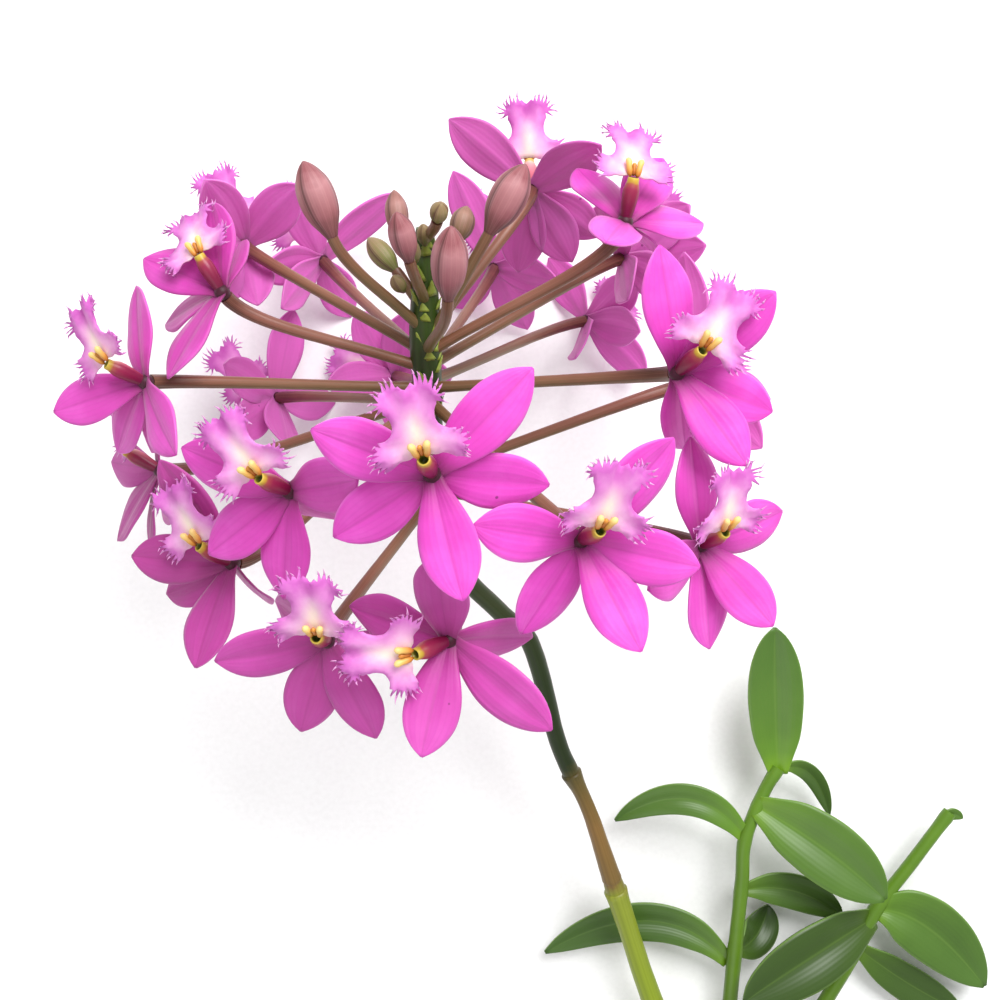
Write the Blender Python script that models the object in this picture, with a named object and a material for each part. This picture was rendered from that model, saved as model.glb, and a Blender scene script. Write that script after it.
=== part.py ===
# A cut flowering branch of an epidendrum orchid, lying on a flat surface. One stem carries a ball-shaped
# head of blooms and buds, and two leafy side shoots leave it near its cut end.
# Sizes are in millimetres and are turned to metres where each mesh is made. +Z is up from the surface.
import math

import bmesh
import bpy
from mathutils import Vector
from mathutils.geometry import tessellate_polygon

MM = 0.001
UP = Vector((0.0, 0.0, 1.0))

# The branch is laid out as it is seen from straight above. A place is given as (across, down) on a square
# view of VIEW_SIDE steps, with its height above the surface in millimetres.
EYE_HEIGHT = 268.0
VIEW_ANGLE = 45.0
VIEW_SIDE = 1000.0
STEP_PER_MM = 2 * math.tan(math.radians(VIEW_ANGLE / 2)) / VIEW_SIDE

# The middle of the branch's box, seen from the middle of the view. The part's origin stands there.
MIDDLE = (14.45, -35.52)
EYE = Vector((-MIDDLE[0], -MIDDLE[1], EYE_HEIGHT))

# Blooms.
TEPAL_LENGTH = 17.5
SEPAL_WIDTH = 8.4
PETAL_WIDTH = 8.4
BLADE_THICK = 0.65
TEPAL_ARCH = 1.8
# How much further behind its bloom's plane a tepal may end, for one that could as well end in front.
FRONT_COST = 1.8
HUB_RADIUS = 1.7
SEAT_GAP = 0.3
COLUMN_LENGTH = 6.8
COLUMN_RADIUS = 1.5
COLUMN_SWELL = (0.52, 0.95, 0.95)
COLUMN_RISE = 30.0
LIP_THICK = 0.7
LIP_LEAN = -16.0
CALLUS_RADIUS = 0.9
CALLUS_APART = 2.0
CALLUS_ALONG = 2.2
CALLUS_SIDES = 4

# The rings of a small bead: height and width, as shares of its radius.
BEAD_RINGS = ((-0.75, 0.66), (0.0, 1.0), (0.75, 0.66))

# Stalks, stem and buds. A bud's rings are shares of its length and of its width.
BUD_RINGS = ((0.0, 0.3), (0.3, 0.85), (0.62, 1.0), (0.88, 0.5), (1.0, 0.08))
STALK_RADIUS = 0.85
OVARY_RADIUS = 1.1
STALK_SIDES = 5
STEM_SIDES = 8
BUD_SIDES = 6
CUT_RADIUS = 2.6

# Leafy shoots.
SHOOT_RADIUS = 1.7
SHOOT_FOOT = 2.5
SHOOT_TAPER = 0.8
LEAF_THICK = 0.9
LEAF_CHANNEL = 0.9

# Where a stalk's curve turns, as shares of its reach, and where along the curve its rings stand.
STALK_RISE = 0.4
STALK_TURN = 0.22
STALK_RINGS = (0.0, 0.35, 0.7, 1.0)

# Share of a blade's length, and its width there as a share of the widest.
TEPAL_STATIONS = ((0.0, 0.36), (0.26, 0.7), (0.56, 1.0), (0.83, 0.72), (1.0, 0.12))
LEAF_STATIONS = ((0.0, 0.3), (0.22, 0.8), (0.52, 1.0), (0.8, 0.78), (1.0, 0.16))

# Right half of a lip's outline, from its claw to the notch at its end: two fringed side lobes and one
# fringed middle lobe. Sizes are (sideways, along).
LIP_HALF = (
    (1.2, -0.6), (2.4, 0.5), (5.0, -0.8), (5.6, 0.5), (7.2, 1.2), (6.1, 2.2), (6.5, 4.3),
    (4.7, 4.0), (2.6, 4.9), (2.5, 7.0), (4.3, 9.3), (3.5, 10.2), (3.5, 12.2), (1.6, 11.5), (0.9, 12.6),
)

# Each bloom: its hub (across, down, height), the way it faces, the turn of its lip in degrees from the
# right, the place where its stalk leaves the rachis (0 at its foot, 1 at its top, less than 0 on the stem
# below it), whether it rests and the ends of its five tepals, clockwise from the lip. A bloom that rests is
# lowered until it touches the surface.
BLOOMS = {
    "bloom_01": ((432, 474, 101), (0.0, -0.25, 0.97), 102, 0.0, False,
                 ((533, 368), (549, 485), (463, 601), (334, 537), (311, 429))),
    "bloom_02": ((581, 540, 92), (0.25, -0.3, 0.92), 82, 0.0, False,
                 ((674, 438), (700, 567), (641, 652), (521, 634), (473, 525))),
    "bloom_03": ((700, 545, 75), (0.5, -0.2, 0.84), 100, -0.6, False,
                 ((782, 511), (773, 626), (709, 649), (648, 590), (690, 437))),
    "bloom_04": ((677, 373, 81), (0.22, -0.06, 0.97), 62, 0.08, False,
                 ((776, 292), (772, 412), (747, 466), (685, 448), (659, 245))),
    "bloom_05": ((690, 385, 48), (0.5, 0.1, -0.85), 60, -0.5, False,
                 ((745, 300), (770, 400), (762, 448), (700, 450), (684, 252))),
    "bloom_06": ((625, 222, 71), (0.2, 0.6, 0.75), 84, 0.3, False,
                 ((663, 159), (703, 224), (652, 250), (606, 243), (577, 169))),
    "bloom_07": ((622, 258, 31), (0.5, 0.3, -0.8), 60, 0.22, False,
                 ((690, 205), (706, 245), (672, 290), (628, 300), (600, 205))),
    "bloom_08": ((531, 190, 51), (0.0, 0.5, -0.87), 93, 0.4, False,
                 ((601, 145), (597, 237), (572, 262), (518, 272), (449, 119))),
    "bloom_09": ((494, 262, 20), (0.1, 0.4, -0.8), 95, 0.2, True,
                 ((545, 200), (560, 275), (528, 325), (448, 300), (452, 162))),
    "bloom_10": ((591, 311, 20), (0.6, 0.2, -0.7), 40, 0.12, True,
                 ((646, 265), (648, 322), (654, 369), (580, 350), (551, 245))),
    "bloom_11": ((222, 292, 63), (-0.4, 0.5, 0.6), 118, 0.2, False,
                 ((212, 203), (240, 243), (168, 379), (166, 325), (144, 259))),
    "bloom_12": ((145, 382, 63), (-0.65, -0.1, 0.75), 119, 0.08, False,
                 ((137, 286), (176, 455), (152, 452), (118, 452), (54, 412))),
    "bloom_13": ((160, 470, 44), (-0.9, 0.0, 0.3), 120, 0.0, False,
                 ((160, 395), (172, 520), (150, 548), (118, 541), (112, 462))),
    "bloom_14": ((232, 563, 69), (-0.5, -0.05, 0.85), 114, 0.0, False,
                 ((160, 460), (268, 602), (196, 668), (167, 594), (132, 556))),
    "bloom_15": ((290, 491, 86), (-0.3, -0.2, 0.91), 118, 0.0, False,
                 ((358, 480), (345, 520), (284, 599), (209, 554), (182, 447))),
    "bloom_16": ((327, 640, 84), (-0.1, -0.35, 0.92), 88, -0.68, False,
                 ((385, 650), (376, 738), (301, 731), (215, 661), (276, 601))),
    "bloom_17": ((449, 640, 88), (-0.2, -0.3, 0.93), 178, 0.0, False,
                 ((350, 606), (436, 556), (532, 637), (552, 730), (421, 757))),
    "bloom_18": ((270, 395, 22), (-0.6, 0.0, -0.7), 140, 0.0, True,
                 ((287, 303), (330, 400), (280, 445), (225, 432), (215, 360))),
    "bloom_19": ((315, 250, 24), (-0.4, 0.5, -0.6), 125, 0.26, True,
                 ((394, 180), (345, 310), (272, 300), (250, 262), (285, 175))),
    "bloom_20": ((245, 245, 40), (-0.2, 0.3, -0.9), 115, 0.3, False,
                 ((300, 185), (258, 305), (222, 298), (190, 262), (205, 180))),
    "bloom_21": ((392, 371, 18), (-0.2, 0.1, -0.95), 160, 0.1, True,
                 ((402, 303), (450, 370), (400, 435), (318, 380), (350, 302))),
}

# Each bud: its foot and its tip (across, down, height), its widest width and the place of its stalk.
BUDS = {
    "bud_1": ((333, 239, 76), (303, 161, 80), 6.1, 0.43),
    "bud_2": ((488, 235, 72), (526, 164, 75), 6.1, 0.36),
    "bud_3": ((448, 301, 86), (451, 226, 94), 5.6, 0.32),
    "bud_4": ((410, 263, 76), (396, 212, 82), 4.4, 0.62),
    "bud_5": ((400, 240, 62), (394, 190, 62), 4.0, 0.7),
    "bud_6": ((397, 272, 63), (368, 238, 62), 4.0, 0.55),
    "bud_7": ((457, 243, 66), (467, 206, 66), 4.2, 0.75),
    "bud_8": ((437, 222, 76), (441, 203, 80), 3.0, 1.0),
}

# The stem from its cut end to the top of the rachis: (across, down, height) and radius. The cut end lies
# on the surface.
STEM_PATH = (
    ((712, 1155, CUT_RADIUS), CUT_RADIUS), ((652, 1000, 9), 2.1), ((609, 870, 19), 1.75),
    ((588, 808, 24.5), 1.35), ((559, 745, 30), 1.7), ((530, 642, 39), 1.75), ((500, 612, 42), 1.75),
    ((462, 572, 45), 1.8), ((436, 500, 50), 2.0), ((428, 395, 56), 2.5), ((425, 330, 60.5), 2.7),
    ((425, 228, 68), 1.5),
)
RACHIS_FOOT = (428, 400, 56)
RACHIS_TOP = (425, 240, 67)

# Each shoot: the share of the stem's first stretch where it leaves, its cane through (across, down,
# height), and its leaves: foot, middle and tip (across, down, height) and widest width.
SHOOTS = {
    "leafy_shoot_1": (
        0.24,
        ((730, 1000, 8), (742, 880, 11), (745, 840, 12), (765, 790, 12), (778, 768, 12)),
        (
            ((778, 774, 12), (776, 700, 15), (775, 628, 17), 11.6),
            ((784, 768, 12), (812, 776, 9), (829, 815, 5), 4.0),
            ((748, 842, 12), (690, 800, 13), (615, 820, 9), 6.6),
            ((756, 806, 13), (825, 850, 17), (885, 900, 17), 13.6),
            ((728, 962, 8), (650, 922, 7), (545, 952, 5), 8.2),
            ((738, 950, 9), (758, 935, 5), (768, 905, 3), 8.0),
            ((745, 890, 10), (795, 892, 9), (842, 916, 6.5), 7.6),
        ),
    ),
    "leafy_shoot_2": (
        0.05,
        ((800, 1040, 6), (850, 960, 7), (874, 912, 7.5), (912, 862, 8), (950, 812, 9)),
        (
            ((874, 918, 7.5), (815, 958, 14.5), (744, 1002, 14.5), 12.8),
            ((878, 910, 8), (930, 930, 9), (984, 986, 6), 13.4),
            ((858, 948, 6.5), (910, 985, 4), (962, 1012, 2.5), 8.0),
            ((946, 818, 9), (953, 814, 9.5), (962, 818, 9), 2.4),
        ),
    ),
}


def sight_line(across, down):
    """The way from the eye to this place of the view, 1 mm down for each unit."""
    half = VIEW_SIDE / 2
    return Vector(((across - half) * STEP_PER_MM, (half - down) * STEP_PER_MM, -1.0))


def seen(across, down, height):
    """The point, in millimetres, at this place of the view and this height."""
    return EYE + sight_line(across, down) * (EYE_HEIGHT - height)


def reached(start, across, down, length, facing):
    """The point on the sight line through (across, down) that lies this far from start. Of the two there
    are it is the one nearer to the plane that facing stands on, with one behind the plane before one in
    front of it. It is the nearest point where none is so close."""
    sight = sight_line(across, down)
    a = sight.dot(sight)
    b = sight.dot(EYE - start)
    c = (EYE - start).length_squared - length ** 2
    spread = b * b - a * c
    if spread <= 0:
        return EYE + sight * (-b / a)
    ends = [EYE + sight * ((-b + sign * math.sqrt(spread)) / a) for sign in (-1, 1)]

    def cost(end):
        ahead = (end - start).dot(facing)
        return ahead * FRONT_COST if ahead > 0 else -ahead

    return min(ends, key=cost)


def bezier(points, share):
    """A point on the Bezier curve of any number of control points."""
    while len(points) > 1:
        points = [a.lerp(b, share) for a, b in zip(points, points[1:])]
    return points[0]


def square_to(direction, line):
    """The part of direction that stands square on line, at length 1."""
    rest = direction - line * direction.dot(line)
    if rest.length < 0.2:
        rest = UP - line * line.z
    return rest.normalized()


def tube(centres, radii, sides):
    """A closed tube through the centres: (points, faces)."""
    points = []
    faces = []
    last = len(centres) - 1
    side = Vector((1.0, 0.3, 0.2))
    for i, (centre, radius) in enumerate(zip(centres, radii)):
        line = (centres[min(i + 1, last)] - centres[max(i - 1, 0)]).normalized()
        side = square_to(side, line)
        other = line.cross(side)
        for k in range(sides):
            turn = 2 * math.pi * k / sides
            points.append(centre + (side * math.cos(turn) + other * math.sin(turn)) * radius)
    for i in range(last):
        for k in range(sides):
            a, b = i * sides + k, i * sides + (k + 1) % sides
            faces.append((a, b, b + sides, a + sides))
    faces.append(tuple(reversed(range(sides))))
    faces.append(tuple(range(last * sides, (last + 1) * sides)))
    return points, faces


def blade(control, stations, width, thick, channel, facing):
    """A closed leaf-like blade along a Bezier curve: (points, faces). Both faces are split alike. A blade
    with a channel has a third line of points, sunk along its middle."""
    points = []
    faces = []
    lines = (-1, 0, 1) if channel else (-1, 1)
    for share, wide in stations:
        centre = bezier(control, share)
        ahead = bezier(control, min(share + 0.02, 1.0))
        behind = bezier(control, max(share - 0.02, 0.0))
        line = (ahead - behind).normalized()
        up = square_to(facing, line)
        side = line.cross(up) * (width * wide / 2)
        sink = up * (channel * wide)
        for level in (0.5, -0.5):
            lift = up * (thick * level)
            points += [centre + side * k + lift - (Vector() if k else sink) for k in lines]
    count = len(lines)
    for i in range(len(stations) - 1):
        a, b = 2 * count * i, 2 * count * (i + 1)
        for k in range(count - 1):
            faces += [(a + k, a + k + 1, b + k), (a + k + 1, b + k + 1, b + k)]
            under = [(a + k + 1, a + k, b + k), (a + k + 1, b + k, b + k + 1)]
            faces += [tuple(point + count for point in face) for face in under]
        for top in (0, count - 1):
            faces += [(a + top, b + top, b + top + count), (a + top, b + top + count, a + top + count)]
    end = 2 * count * (len(stations) - 1)
    for k in range(count - 1):
        faces.append((k, k + count, k + count + 1, k + 1))
        faces.append((end + k, end + k + 1, end + k + count + 1, end + k + count))
    return points, faces


def ball(centre, radius, sides):
    """A small bead of three rings: (points, faces)."""
    centres = [centre + UP * (radius * height) for height, _ in BEAD_RINGS]
    return tube(centres, [radius * share for _, share in BEAD_RINGS], sides)


def plate(outline, place, thick, up):
    """A flat closed plate from an outline, put where place says: (points, faces)."""
    flat = [Vector((x, y, 0.0)) for x, y in outline]
    triangles = tessellate_polygon([flat])
    count = len(flat)
    points = [place(x, y) + up * (thick * level) for level in (0.5, -0.5) for x, y in outline]
    faces = []
    for a, b, c in triangles:
        faces += [(a, b, c), (c + count, b + count, a + count)]
    for k in range(count):
        after = (k + 1) % count
        faces.append((k, k + count, after + count, after))
    return points, faces


def solid(name, shape, collection):
    """An object from (points, faces) in millimetres, with its faces turned outwards."""
    points, faces = shape
    mesh = bpy.data.meshes.new(name)
    mesh.from_pydata([point * MM for point in points], [], faces)
    work = bmesh.new()
    work.from_mesh(mesh)
    bmesh.ops.triangulate(work, faces=work.faces, quad_method="FIXED")
    bmesh.ops.recalc_face_normals(work, faces=work.faces)
    if work.calc_volume(signed=True) < 0:
        bmesh.ops.reverse_faces(work, faces=work.faces)
    work.to_mesh(mesh)
    work.free()
    made = bpy.data.objects.new(name, mesh)
    collection.objects.link(made)
    return made


def finish(name, shapes, material):
    """One object from one or more closed shapes, joined by a Boolean union."""
    scene = bpy.context.scene.collection
    base = solid(name, shapes[0], scene)
    if len(shapes) > 1:
        helpers = bpy.data.collections.new(name + "_pieces")
        scene.children.link(helpers)
        for shape in shapes[1:]:
            solid(name + "_piece", shape, helpers)
        union = base.modifiers.new("union", "BOOLEAN")
        union.operation = "UNION"
        union.operand_type = "COLLECTION"
        union.collection = helpers
        union.solver = "MANIFOLD"
        graph = bpy.context.evaluated_depsgraph_get()
        joined = bpy.data.meshes.new_from_object(base.evaluated_get(graph))
        base.modifiers.remove(union)
        base.data = joined
        for helper in list(helpers.objects):
            bpy.data.objects.remove(helper)
        bpy.data.collections.remove(helpers)
    base.data.materials.clear()
    base.data.materials.append(material)
    return base


def material_of(name, colour, roughness):
    made = bpy.data.materials.new(name)
    made.use_nodes = True
    shader = made.node_tree.nodes["Principled BSDF"]
    shader.inputs["Base Color"].default_value = (*colour, 1.0)
    shader.inputs["Roughness"].default_value = roughness
    shader.inputs["Metallic"].default_value = 0.0
    return made


def rachis_point(share):
    return seen(*RACHIS_FOOT).lerp(seen(*RACHIS_TOP), share)


def stalk(start, end, arriving, radius, end_radius):
    """A stalk from the rachis to a bloom or a bud, which it meets head on."""
    reach = (end - start).length
    control = [start, start.lerp(end, STALK_RISE), end - arriving * (STALK_TURN * reach), end]
    centres = [bezier(control, share) for share in STALK_RINGS]
    radii = [radius + (end_radius - radius) * share ** 2 for share in STALK_RINGS]
    return tube(centres, radii, STALK_SIDES)


def lip_shapes(hub, facing, turn):
    """The column, the fringed blade at its mouth and the two calli."""
    way = Vector((math.cos(math.radians(turn)), math.sin(math.radians(turn)), 0.0))
    along = square_to(way, facing)
    rise = math.radians(COLUMN_RISE)
    column = facing * math.cos(rise) + along * math.sin(rise)
    mouth = hub + column * COLUMN_LENGTH
    lean = math.radians(LIP_LEAN)
    forth = along * math.cos(lean) - facing * math.sin(lean)
    side = forth.cross(facing).normalized()
    up = side.cross(forth)
    start = hub + column * (HUB_RADIUS + SEAT_GAP)
    end = mouth + column * LIP_THICK
    shapes = [tube([start, start.lerp(end, 0.5), end], [COLUMN_RADIUS * w for w in COLUMN_SWELL], BUD_SIDES)]
    outline = list(LIP_HALF) + [(-x, y) for x, y in reversed(LIP_HALF)]
    shapes.append(plate(outline, lambda x, y: mouth + side * x + forth * y, LIP_THICK, up))
    for sign in (-1, 1):
        place = mouth + side * (sign * CALLUS_APART / 2) + forth * CALLUS_ALONG + up * (LIP_THICK / 2)
        shapes.append(ball(place, CALLUS_RADIUS, CALLUS_SIDES))
    return shapes


def tepal_shapes(hub, facing, tips):
    """Three sepals and two petals on their hub."""
    shapes = [ball(hub, HUB_RADIUS, BUD_SIDES)]
    for number, (across, down) in enumerate(tips):
        tip = reached(hub, across, down, TEPAL_LENGTH, facing)
        middle = hub.lerp(tip, 0.5) + facing * TEPAL_ARCH
        width = PETAL_WIDTH if number in (1, 3) else SEPAL_WIDTH
        shapes.append(blade([hub, middle, tip], TEPAL_STATIONS, width, BLADE_THICK, 0.0, facing))
    return shapes


def lowest(shapes):
    return min(point.z for points, _ in shapes for point in points)


def lowered(shapes, drop):
    return [([point - UP * drop for point in points], faces) for points, faces in shapes]


def main():
    for old in list(bpy.data.objects):
        bpy.data.objects.remove(old)
    stem = tube([seen(*place) for place, _ in STEM_PATH], [r for _, r in STEM_PATH], STEM_SIDES)
    cut_end = stem[0][:STEM_SIDES]
    drop = min(point.z for point in cut_end)
    for point in cut_end:
        point.z -= drop
    stem_shapes = [stem]
    for name, (place, facing, turn, leaves_at, rests, tips) in BLOOMS.items():
        hub = seen(*place)
        facing = Vector(facing).normalized()
        petals = tepal_shapes(hub, facing, tips)
        lip = lip_shapes(hub, facing, turn)
        drop = min(lowest(petals), lowest(lip)) if rests else 0.0
        petal_look = material_of(name + "_petals", (0.75, 0.12, 0.62), 0.5)
        lip_look = material_of(name + "_lip", (0.86, 0.6, 0.8), 0.45)
        finish(name + "_petals", lowered(petals, drop), petal_look)
        finish(name + "_lip", lowered(lip, drop), lip_look)
        seat = hub - UP * drop - facing * (HUB_RADIUS + SEAT_GAP)
        stem_shapes.append(stalk(rachis_point(leaves_at), seat, facing, STALK_RADIUS, OVARY_RADIUS))
    for name, (foot, tip, width, leaves_at) in BUDS.items():
        foot, tip = seen(*foot), seen(*tip)
        line = (tip - foot).normalized()
        centres = [foot.lerp(tip, share) for share, _ in BUD_RINGS]
        bud = tube(centres, [width / 2 * wide for _, wide in BUD_RINGS], BUD_SIDES)
        finish(name, [bud], material_of(name, (0.46, 0.24, 0.2), 0.5))
        seat = foot - line * SEAT_GAP
        stem_shapes.append(stalk(rachis_point(leaves_at), seat, line, STALK_RADIUS, STALK_RADIUS))
    for name, (leaves_at, path, leaves) in SHOOTS.items():
        low, high = seen(*STEM_PATH[0][0]), seen(*STEM_PATH[1][0])
        root = low.lerp(high, leaves_at)
        out = square_to(Vector((1.0, 0.0, 0.0)), (high - low).normalized())
        start = root + out * (CUT_RADIUS + SEAT_GAP)
        centres = [start, start + out * SHOOT_FOOT] + [seen(*place) for place in path]
        radii = [SHOOT_RADIUS] * (len(centres) - 1) + [SHOOT_RADIUS * SHOOT_TAPER]
        shapes = [tube(centres, radii, BUD_SIDES)]
        for foot, middle, tip, width in leaves:
            foot, middle, tip = seen(*foot), seen(*middle), seen(*tip)
            bend = middle * 2 - foot.lerp(tip, 0.5)
            shapes.append(blade([foot, bend, tip], LEAF_STATIONS, width, LEAF_THICK, LEAF_CHANNEL, UP))
        finish(name, shapes, material_of(name, (0.1, 0.24, 0.05), 0.45))
    finish("flower_stem", stem_shapes, material_of("flower_stem", (0.22, 0.17, 0.07), 0.5))


main()
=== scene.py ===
# A cut flowering branch of an epidendrum orchid, lying on a table and seen from straight above.
# Places and sizes in the lists are in millimetres. Every mesh is in metres, with +Z up from the table.
import math
import random

import bpy
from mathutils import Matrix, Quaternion, Vector
from mathutils.geometry import delaunay_2d_cdt


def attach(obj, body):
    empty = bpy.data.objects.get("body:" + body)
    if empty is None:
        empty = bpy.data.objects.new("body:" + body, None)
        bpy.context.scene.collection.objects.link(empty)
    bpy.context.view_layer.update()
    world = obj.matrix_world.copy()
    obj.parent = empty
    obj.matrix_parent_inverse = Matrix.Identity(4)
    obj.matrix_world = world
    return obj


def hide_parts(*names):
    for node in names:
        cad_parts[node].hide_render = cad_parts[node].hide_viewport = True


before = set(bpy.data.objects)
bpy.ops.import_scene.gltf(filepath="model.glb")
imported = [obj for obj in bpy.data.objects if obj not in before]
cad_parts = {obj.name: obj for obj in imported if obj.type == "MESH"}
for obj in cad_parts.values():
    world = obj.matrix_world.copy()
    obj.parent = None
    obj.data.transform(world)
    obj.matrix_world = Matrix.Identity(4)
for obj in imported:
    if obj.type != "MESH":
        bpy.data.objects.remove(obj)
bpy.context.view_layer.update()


# The view from straight above
# The branch lies on a table with the camera over it, as a cut flower is photographed on a sheet of paper.
# Each of its parts stands on a sight line of that camera: a place is (across, down) on a square view of
# VIEW_SIDE steps, with its height above the table in millimetres.
MM = 0.001
UP = Vector((0.0, 0.0, 1.0))
EYE_HEIGHT = 268.0
VIEW_ANGLE = 45.0
VIEW_SIDE = 1000.0
STEP_PER_MM = 2 * math.tan(math.radians(VIEW_ANGLE / 2)) / VIEW_SIDE
MIDDLE = (14.45, -35.52)
EYE = Vector((-MIDDLE[0], -MIDDLE[1], EYE_HEIGHT)) * MM


def sight_line(across, down):
    """The way from the eye to this place of the view, 1 down for each unit."""
    half = VIEW_SIDE / 2
    return Vector(((across - half) * STEP_PER_MM, (half - down) * STEP_PER_MM, -1.0))


def seen(across, down, height):
    """The point at this place of the view, this many millimetres above the table."""
    return EYE + sight_line(across, down) * ((EYE_HEIGHT - height) * MM)


camera_data = bpy.data.cameras.new("overhead_camera")
camera_data.angle = math.radians(VIEW_ANGLE)
camera_data.clip_start = 0.01
camera = bpy.data.objects.new("overhead_camera", camera_data)
camera.location = EYE
bpy.context.scene.collection.objects.link(camera)
bpy.context.scene.camera = camera
bpy.context.scene.view_settings.view_transform = "Standard"


# The flowering stem
# A fleshy green cane, thicker than a match, which ends in the rachis that the blooms and buds spring from.
# Its lower half is wrapped in papery sheaths that grew out of its joints. It was cut off square.
STEM_PATH = (
    ((712, 1155, 2.6), 2.6), ((652, 1000, 9), 2.1), ((609, 870, 19), 1.75),
    ((588, 808, 24.5), 1.35), ((559, 745, 30), 1.7), ((530, 642, 39), 1.75), ((500, 612, 42), 1.75),
    ((462, 572, 45), 1.8), ((436, 500, 50), 2.0), ((428, 395, 56), 2.5), ((425, 330, 60.5), 2.7),
    ((425, 228, 68), 1.5),
)
STEM_STEPS = 170
# The stem's joints, as shares of its length, with how far each stands out as a share of the radius.
STEM_JOINTS = ((0.326, 0.16), (0.468, 0.12))
JOINT_LENGTH = 0.012
# Each sheath runs from one share of the stem's length to another. It is tight to the stem at its foot,
# stands off it further up, flares over its last steps and turns in at its mouth.
SHEATHS = ((0.004, 0.322), (0.335, 0.464))
SHEATH_STEPS = 60
SHEATH_OFF = 0.16 * MM
FLARE_STEPS = 10
FLARE = 0.25 * MM
MOUTH_TURN = 0.0012
MOUTH_INSET = -0.1 * MM


def add(tree, kind, links=(), **settings):
    """Adds a node. Links give an input a value, a socket or a node, which stands for its first output."""
    node = tree.nodes.new(kind)
    for name, value in settings.items():
        setattr(node, name, value)
    for name, value in dict(links).items():
        if isinstance(value, bpy.types.Node):
            value = value.outputs[0]
        if isinstance(value, bpy.types.NodeSocket):
            tree.links.new(value, node.inputs[name])
        else:
            node.inputs[name].default_value = value
    return node


def linear(code):
    """An sRGB hex value as the linear colour that a shader takes."""
    values = [int(code[i:i + 2], 16) / 255 for i in (1, 3, 5)]
    return (*[v / 12.92 if v <= 0.04045 else ((v + 0.055) / 1.055) ** 2.4 for v in values], 1.0)


def coloured(ramp, stops):
    """Gives a colour ramp its stops: (place, sRGB hex value)."""
    elements = ramp.color_ramp.elements
    while len(elements) < len(stops):
        elements.new(0.5)
    for element, (place, code) in zip(elements, stops):
        element.position = place
        element.color = linear(code)
    return ramp


def blank_skin(name, inputs):
    """A material with these values on its shader: (material, its node tree)."""
    skin = bpy.data.materials.new(name)
    skin.use_nodes = True
    shader = skin.node_tree.nodes["Principled BSDF"]
    for label, value in inputs.items():
        shader.inputs[label].default_value = value
    return skin, skin.node_tree


def dressed(tree, colour, relief=None, strength=0.0, depth=0.0):
    """Puts a colour on a material's shader, and a fine relief where there is one."""
    inputs = tree.nodes["Principled BSDF"].inputs
    tree.links.new(colour, inputs["Base Color"])
    if relief is not None:
        bump = add(tree, "ShaderNodeBump", {"Height": relief, "Strength": strength, "Distance": depth})
        tree.links.new(bump.outputs[0], inputs["Normal"])


def blank_tree(name, inputs):
    """A Geometry Nodes tree with inputs of (label, kind): (tree, the sockets of its inputs)."""
    tree = bpy.data.node_groups.new(name, "GeometryNodeTree")
    for label, kind in inputs:
        tree.interface.new_socket(label, in_out="INPUT", socket_type="NodeSocket" + kind)
    tree.interface.new_socket("Grown", in_out="OUTPUT", socket_type="NodeSocketGeometry")
    return tree, add(tree, "NodeGroupInput").outputs


def ending(tree, geometry, material):
    """Ends a tree in real geometry with its finish on it."""
    real = add(tree, "GeometryNodeRealizeInstances", {"Geometry": geometry})
    smooth = add(tree, "GeometryNodeSetShadeSmooth", {"Geometry": real})
    finish = add(tree, "GeometryNodeSetMaterial", {"Geometry": smooth, "Material": material})
    add(tree, "NodeGroupOutput", {0: finish})


def strands(name, paths):
    """A mesh of lines to grow things on. A path is a list of steps, each with its place and named values."""
    steps = [step for path in paths for step in path]
    edges = []
    start = 0
    for path in paths:
        edges += [(start + i, start + i + 1) for i in range(len(path) - 1)]
        start += len(path)
    mesh = bpy.data.meshes.new(name)
    mesh.from_pydata([step["place"] for step in steps], edges, [])
    for label, sample in steps[0].items():
        if label == "place":
            continue
        if isinstance(sample, Vector):
            layer = mesh.attributes.new(label, "FLOAT_VECTOR", "POINT")
            layer.data.foreach_set("vector", [value for step in steps for value in step[label]])
        else:
            layer = mesh.attributes.new(label, "FLOAT", "POINT")
            layer.data.foreach_set("value", [step[label] for step in steps])
    return mesh


def settled(made, wall=None):
    """The object with what its modifiers make as its plain mesh. A wall gives a sheet a thickness first."""
    if wall:
        thick = made.modifiers.new("wall", "SOLIDIFY")
        thick.thickness = wall
        thick.offset = 0.0
    graph = bpy.context.evaluated_depsgraph_get()
    ready = made.evaluated_get(graph)
    mesh = bpy.data.meshes.new_from_object(ready, preserve_all_data_layers=True, depsgraph=graph)
    made.modifiers.clear()
    made.data = mesh
    return made


def grown(name, tree, source, inputs, wall=None):
    """The plain mesh that a tree grows from a source mesh, in the scene."""
    made = bpy.data.objects.new(name, source)
    bpy.context.scene.collection.objects.link(made)
    grow = made.modifiers.new("grow", "NODES")
    grow.node_group = tree
    sockets = {item.name: item.identifier for item in tree.interface.items_tree if item.in_out == "INPUT"}
    for label, value in inputs.items():
        grow[sockets[label]] = value
    return settled(made, wall)


def joined(name, pieces):
    """Several meshes as one piece."""
    with bpy.context.temp_override(active_object=pieces[0], selected_editable_objects=pieces):
        bpy.ops.object.join()
    pieces[0].name = name
    return pieces[0]


def placed(piece, node):
    """Puts a finished piece on the branch in place of its plain solid."""
    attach(piece, "root")
    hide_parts(node)


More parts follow.
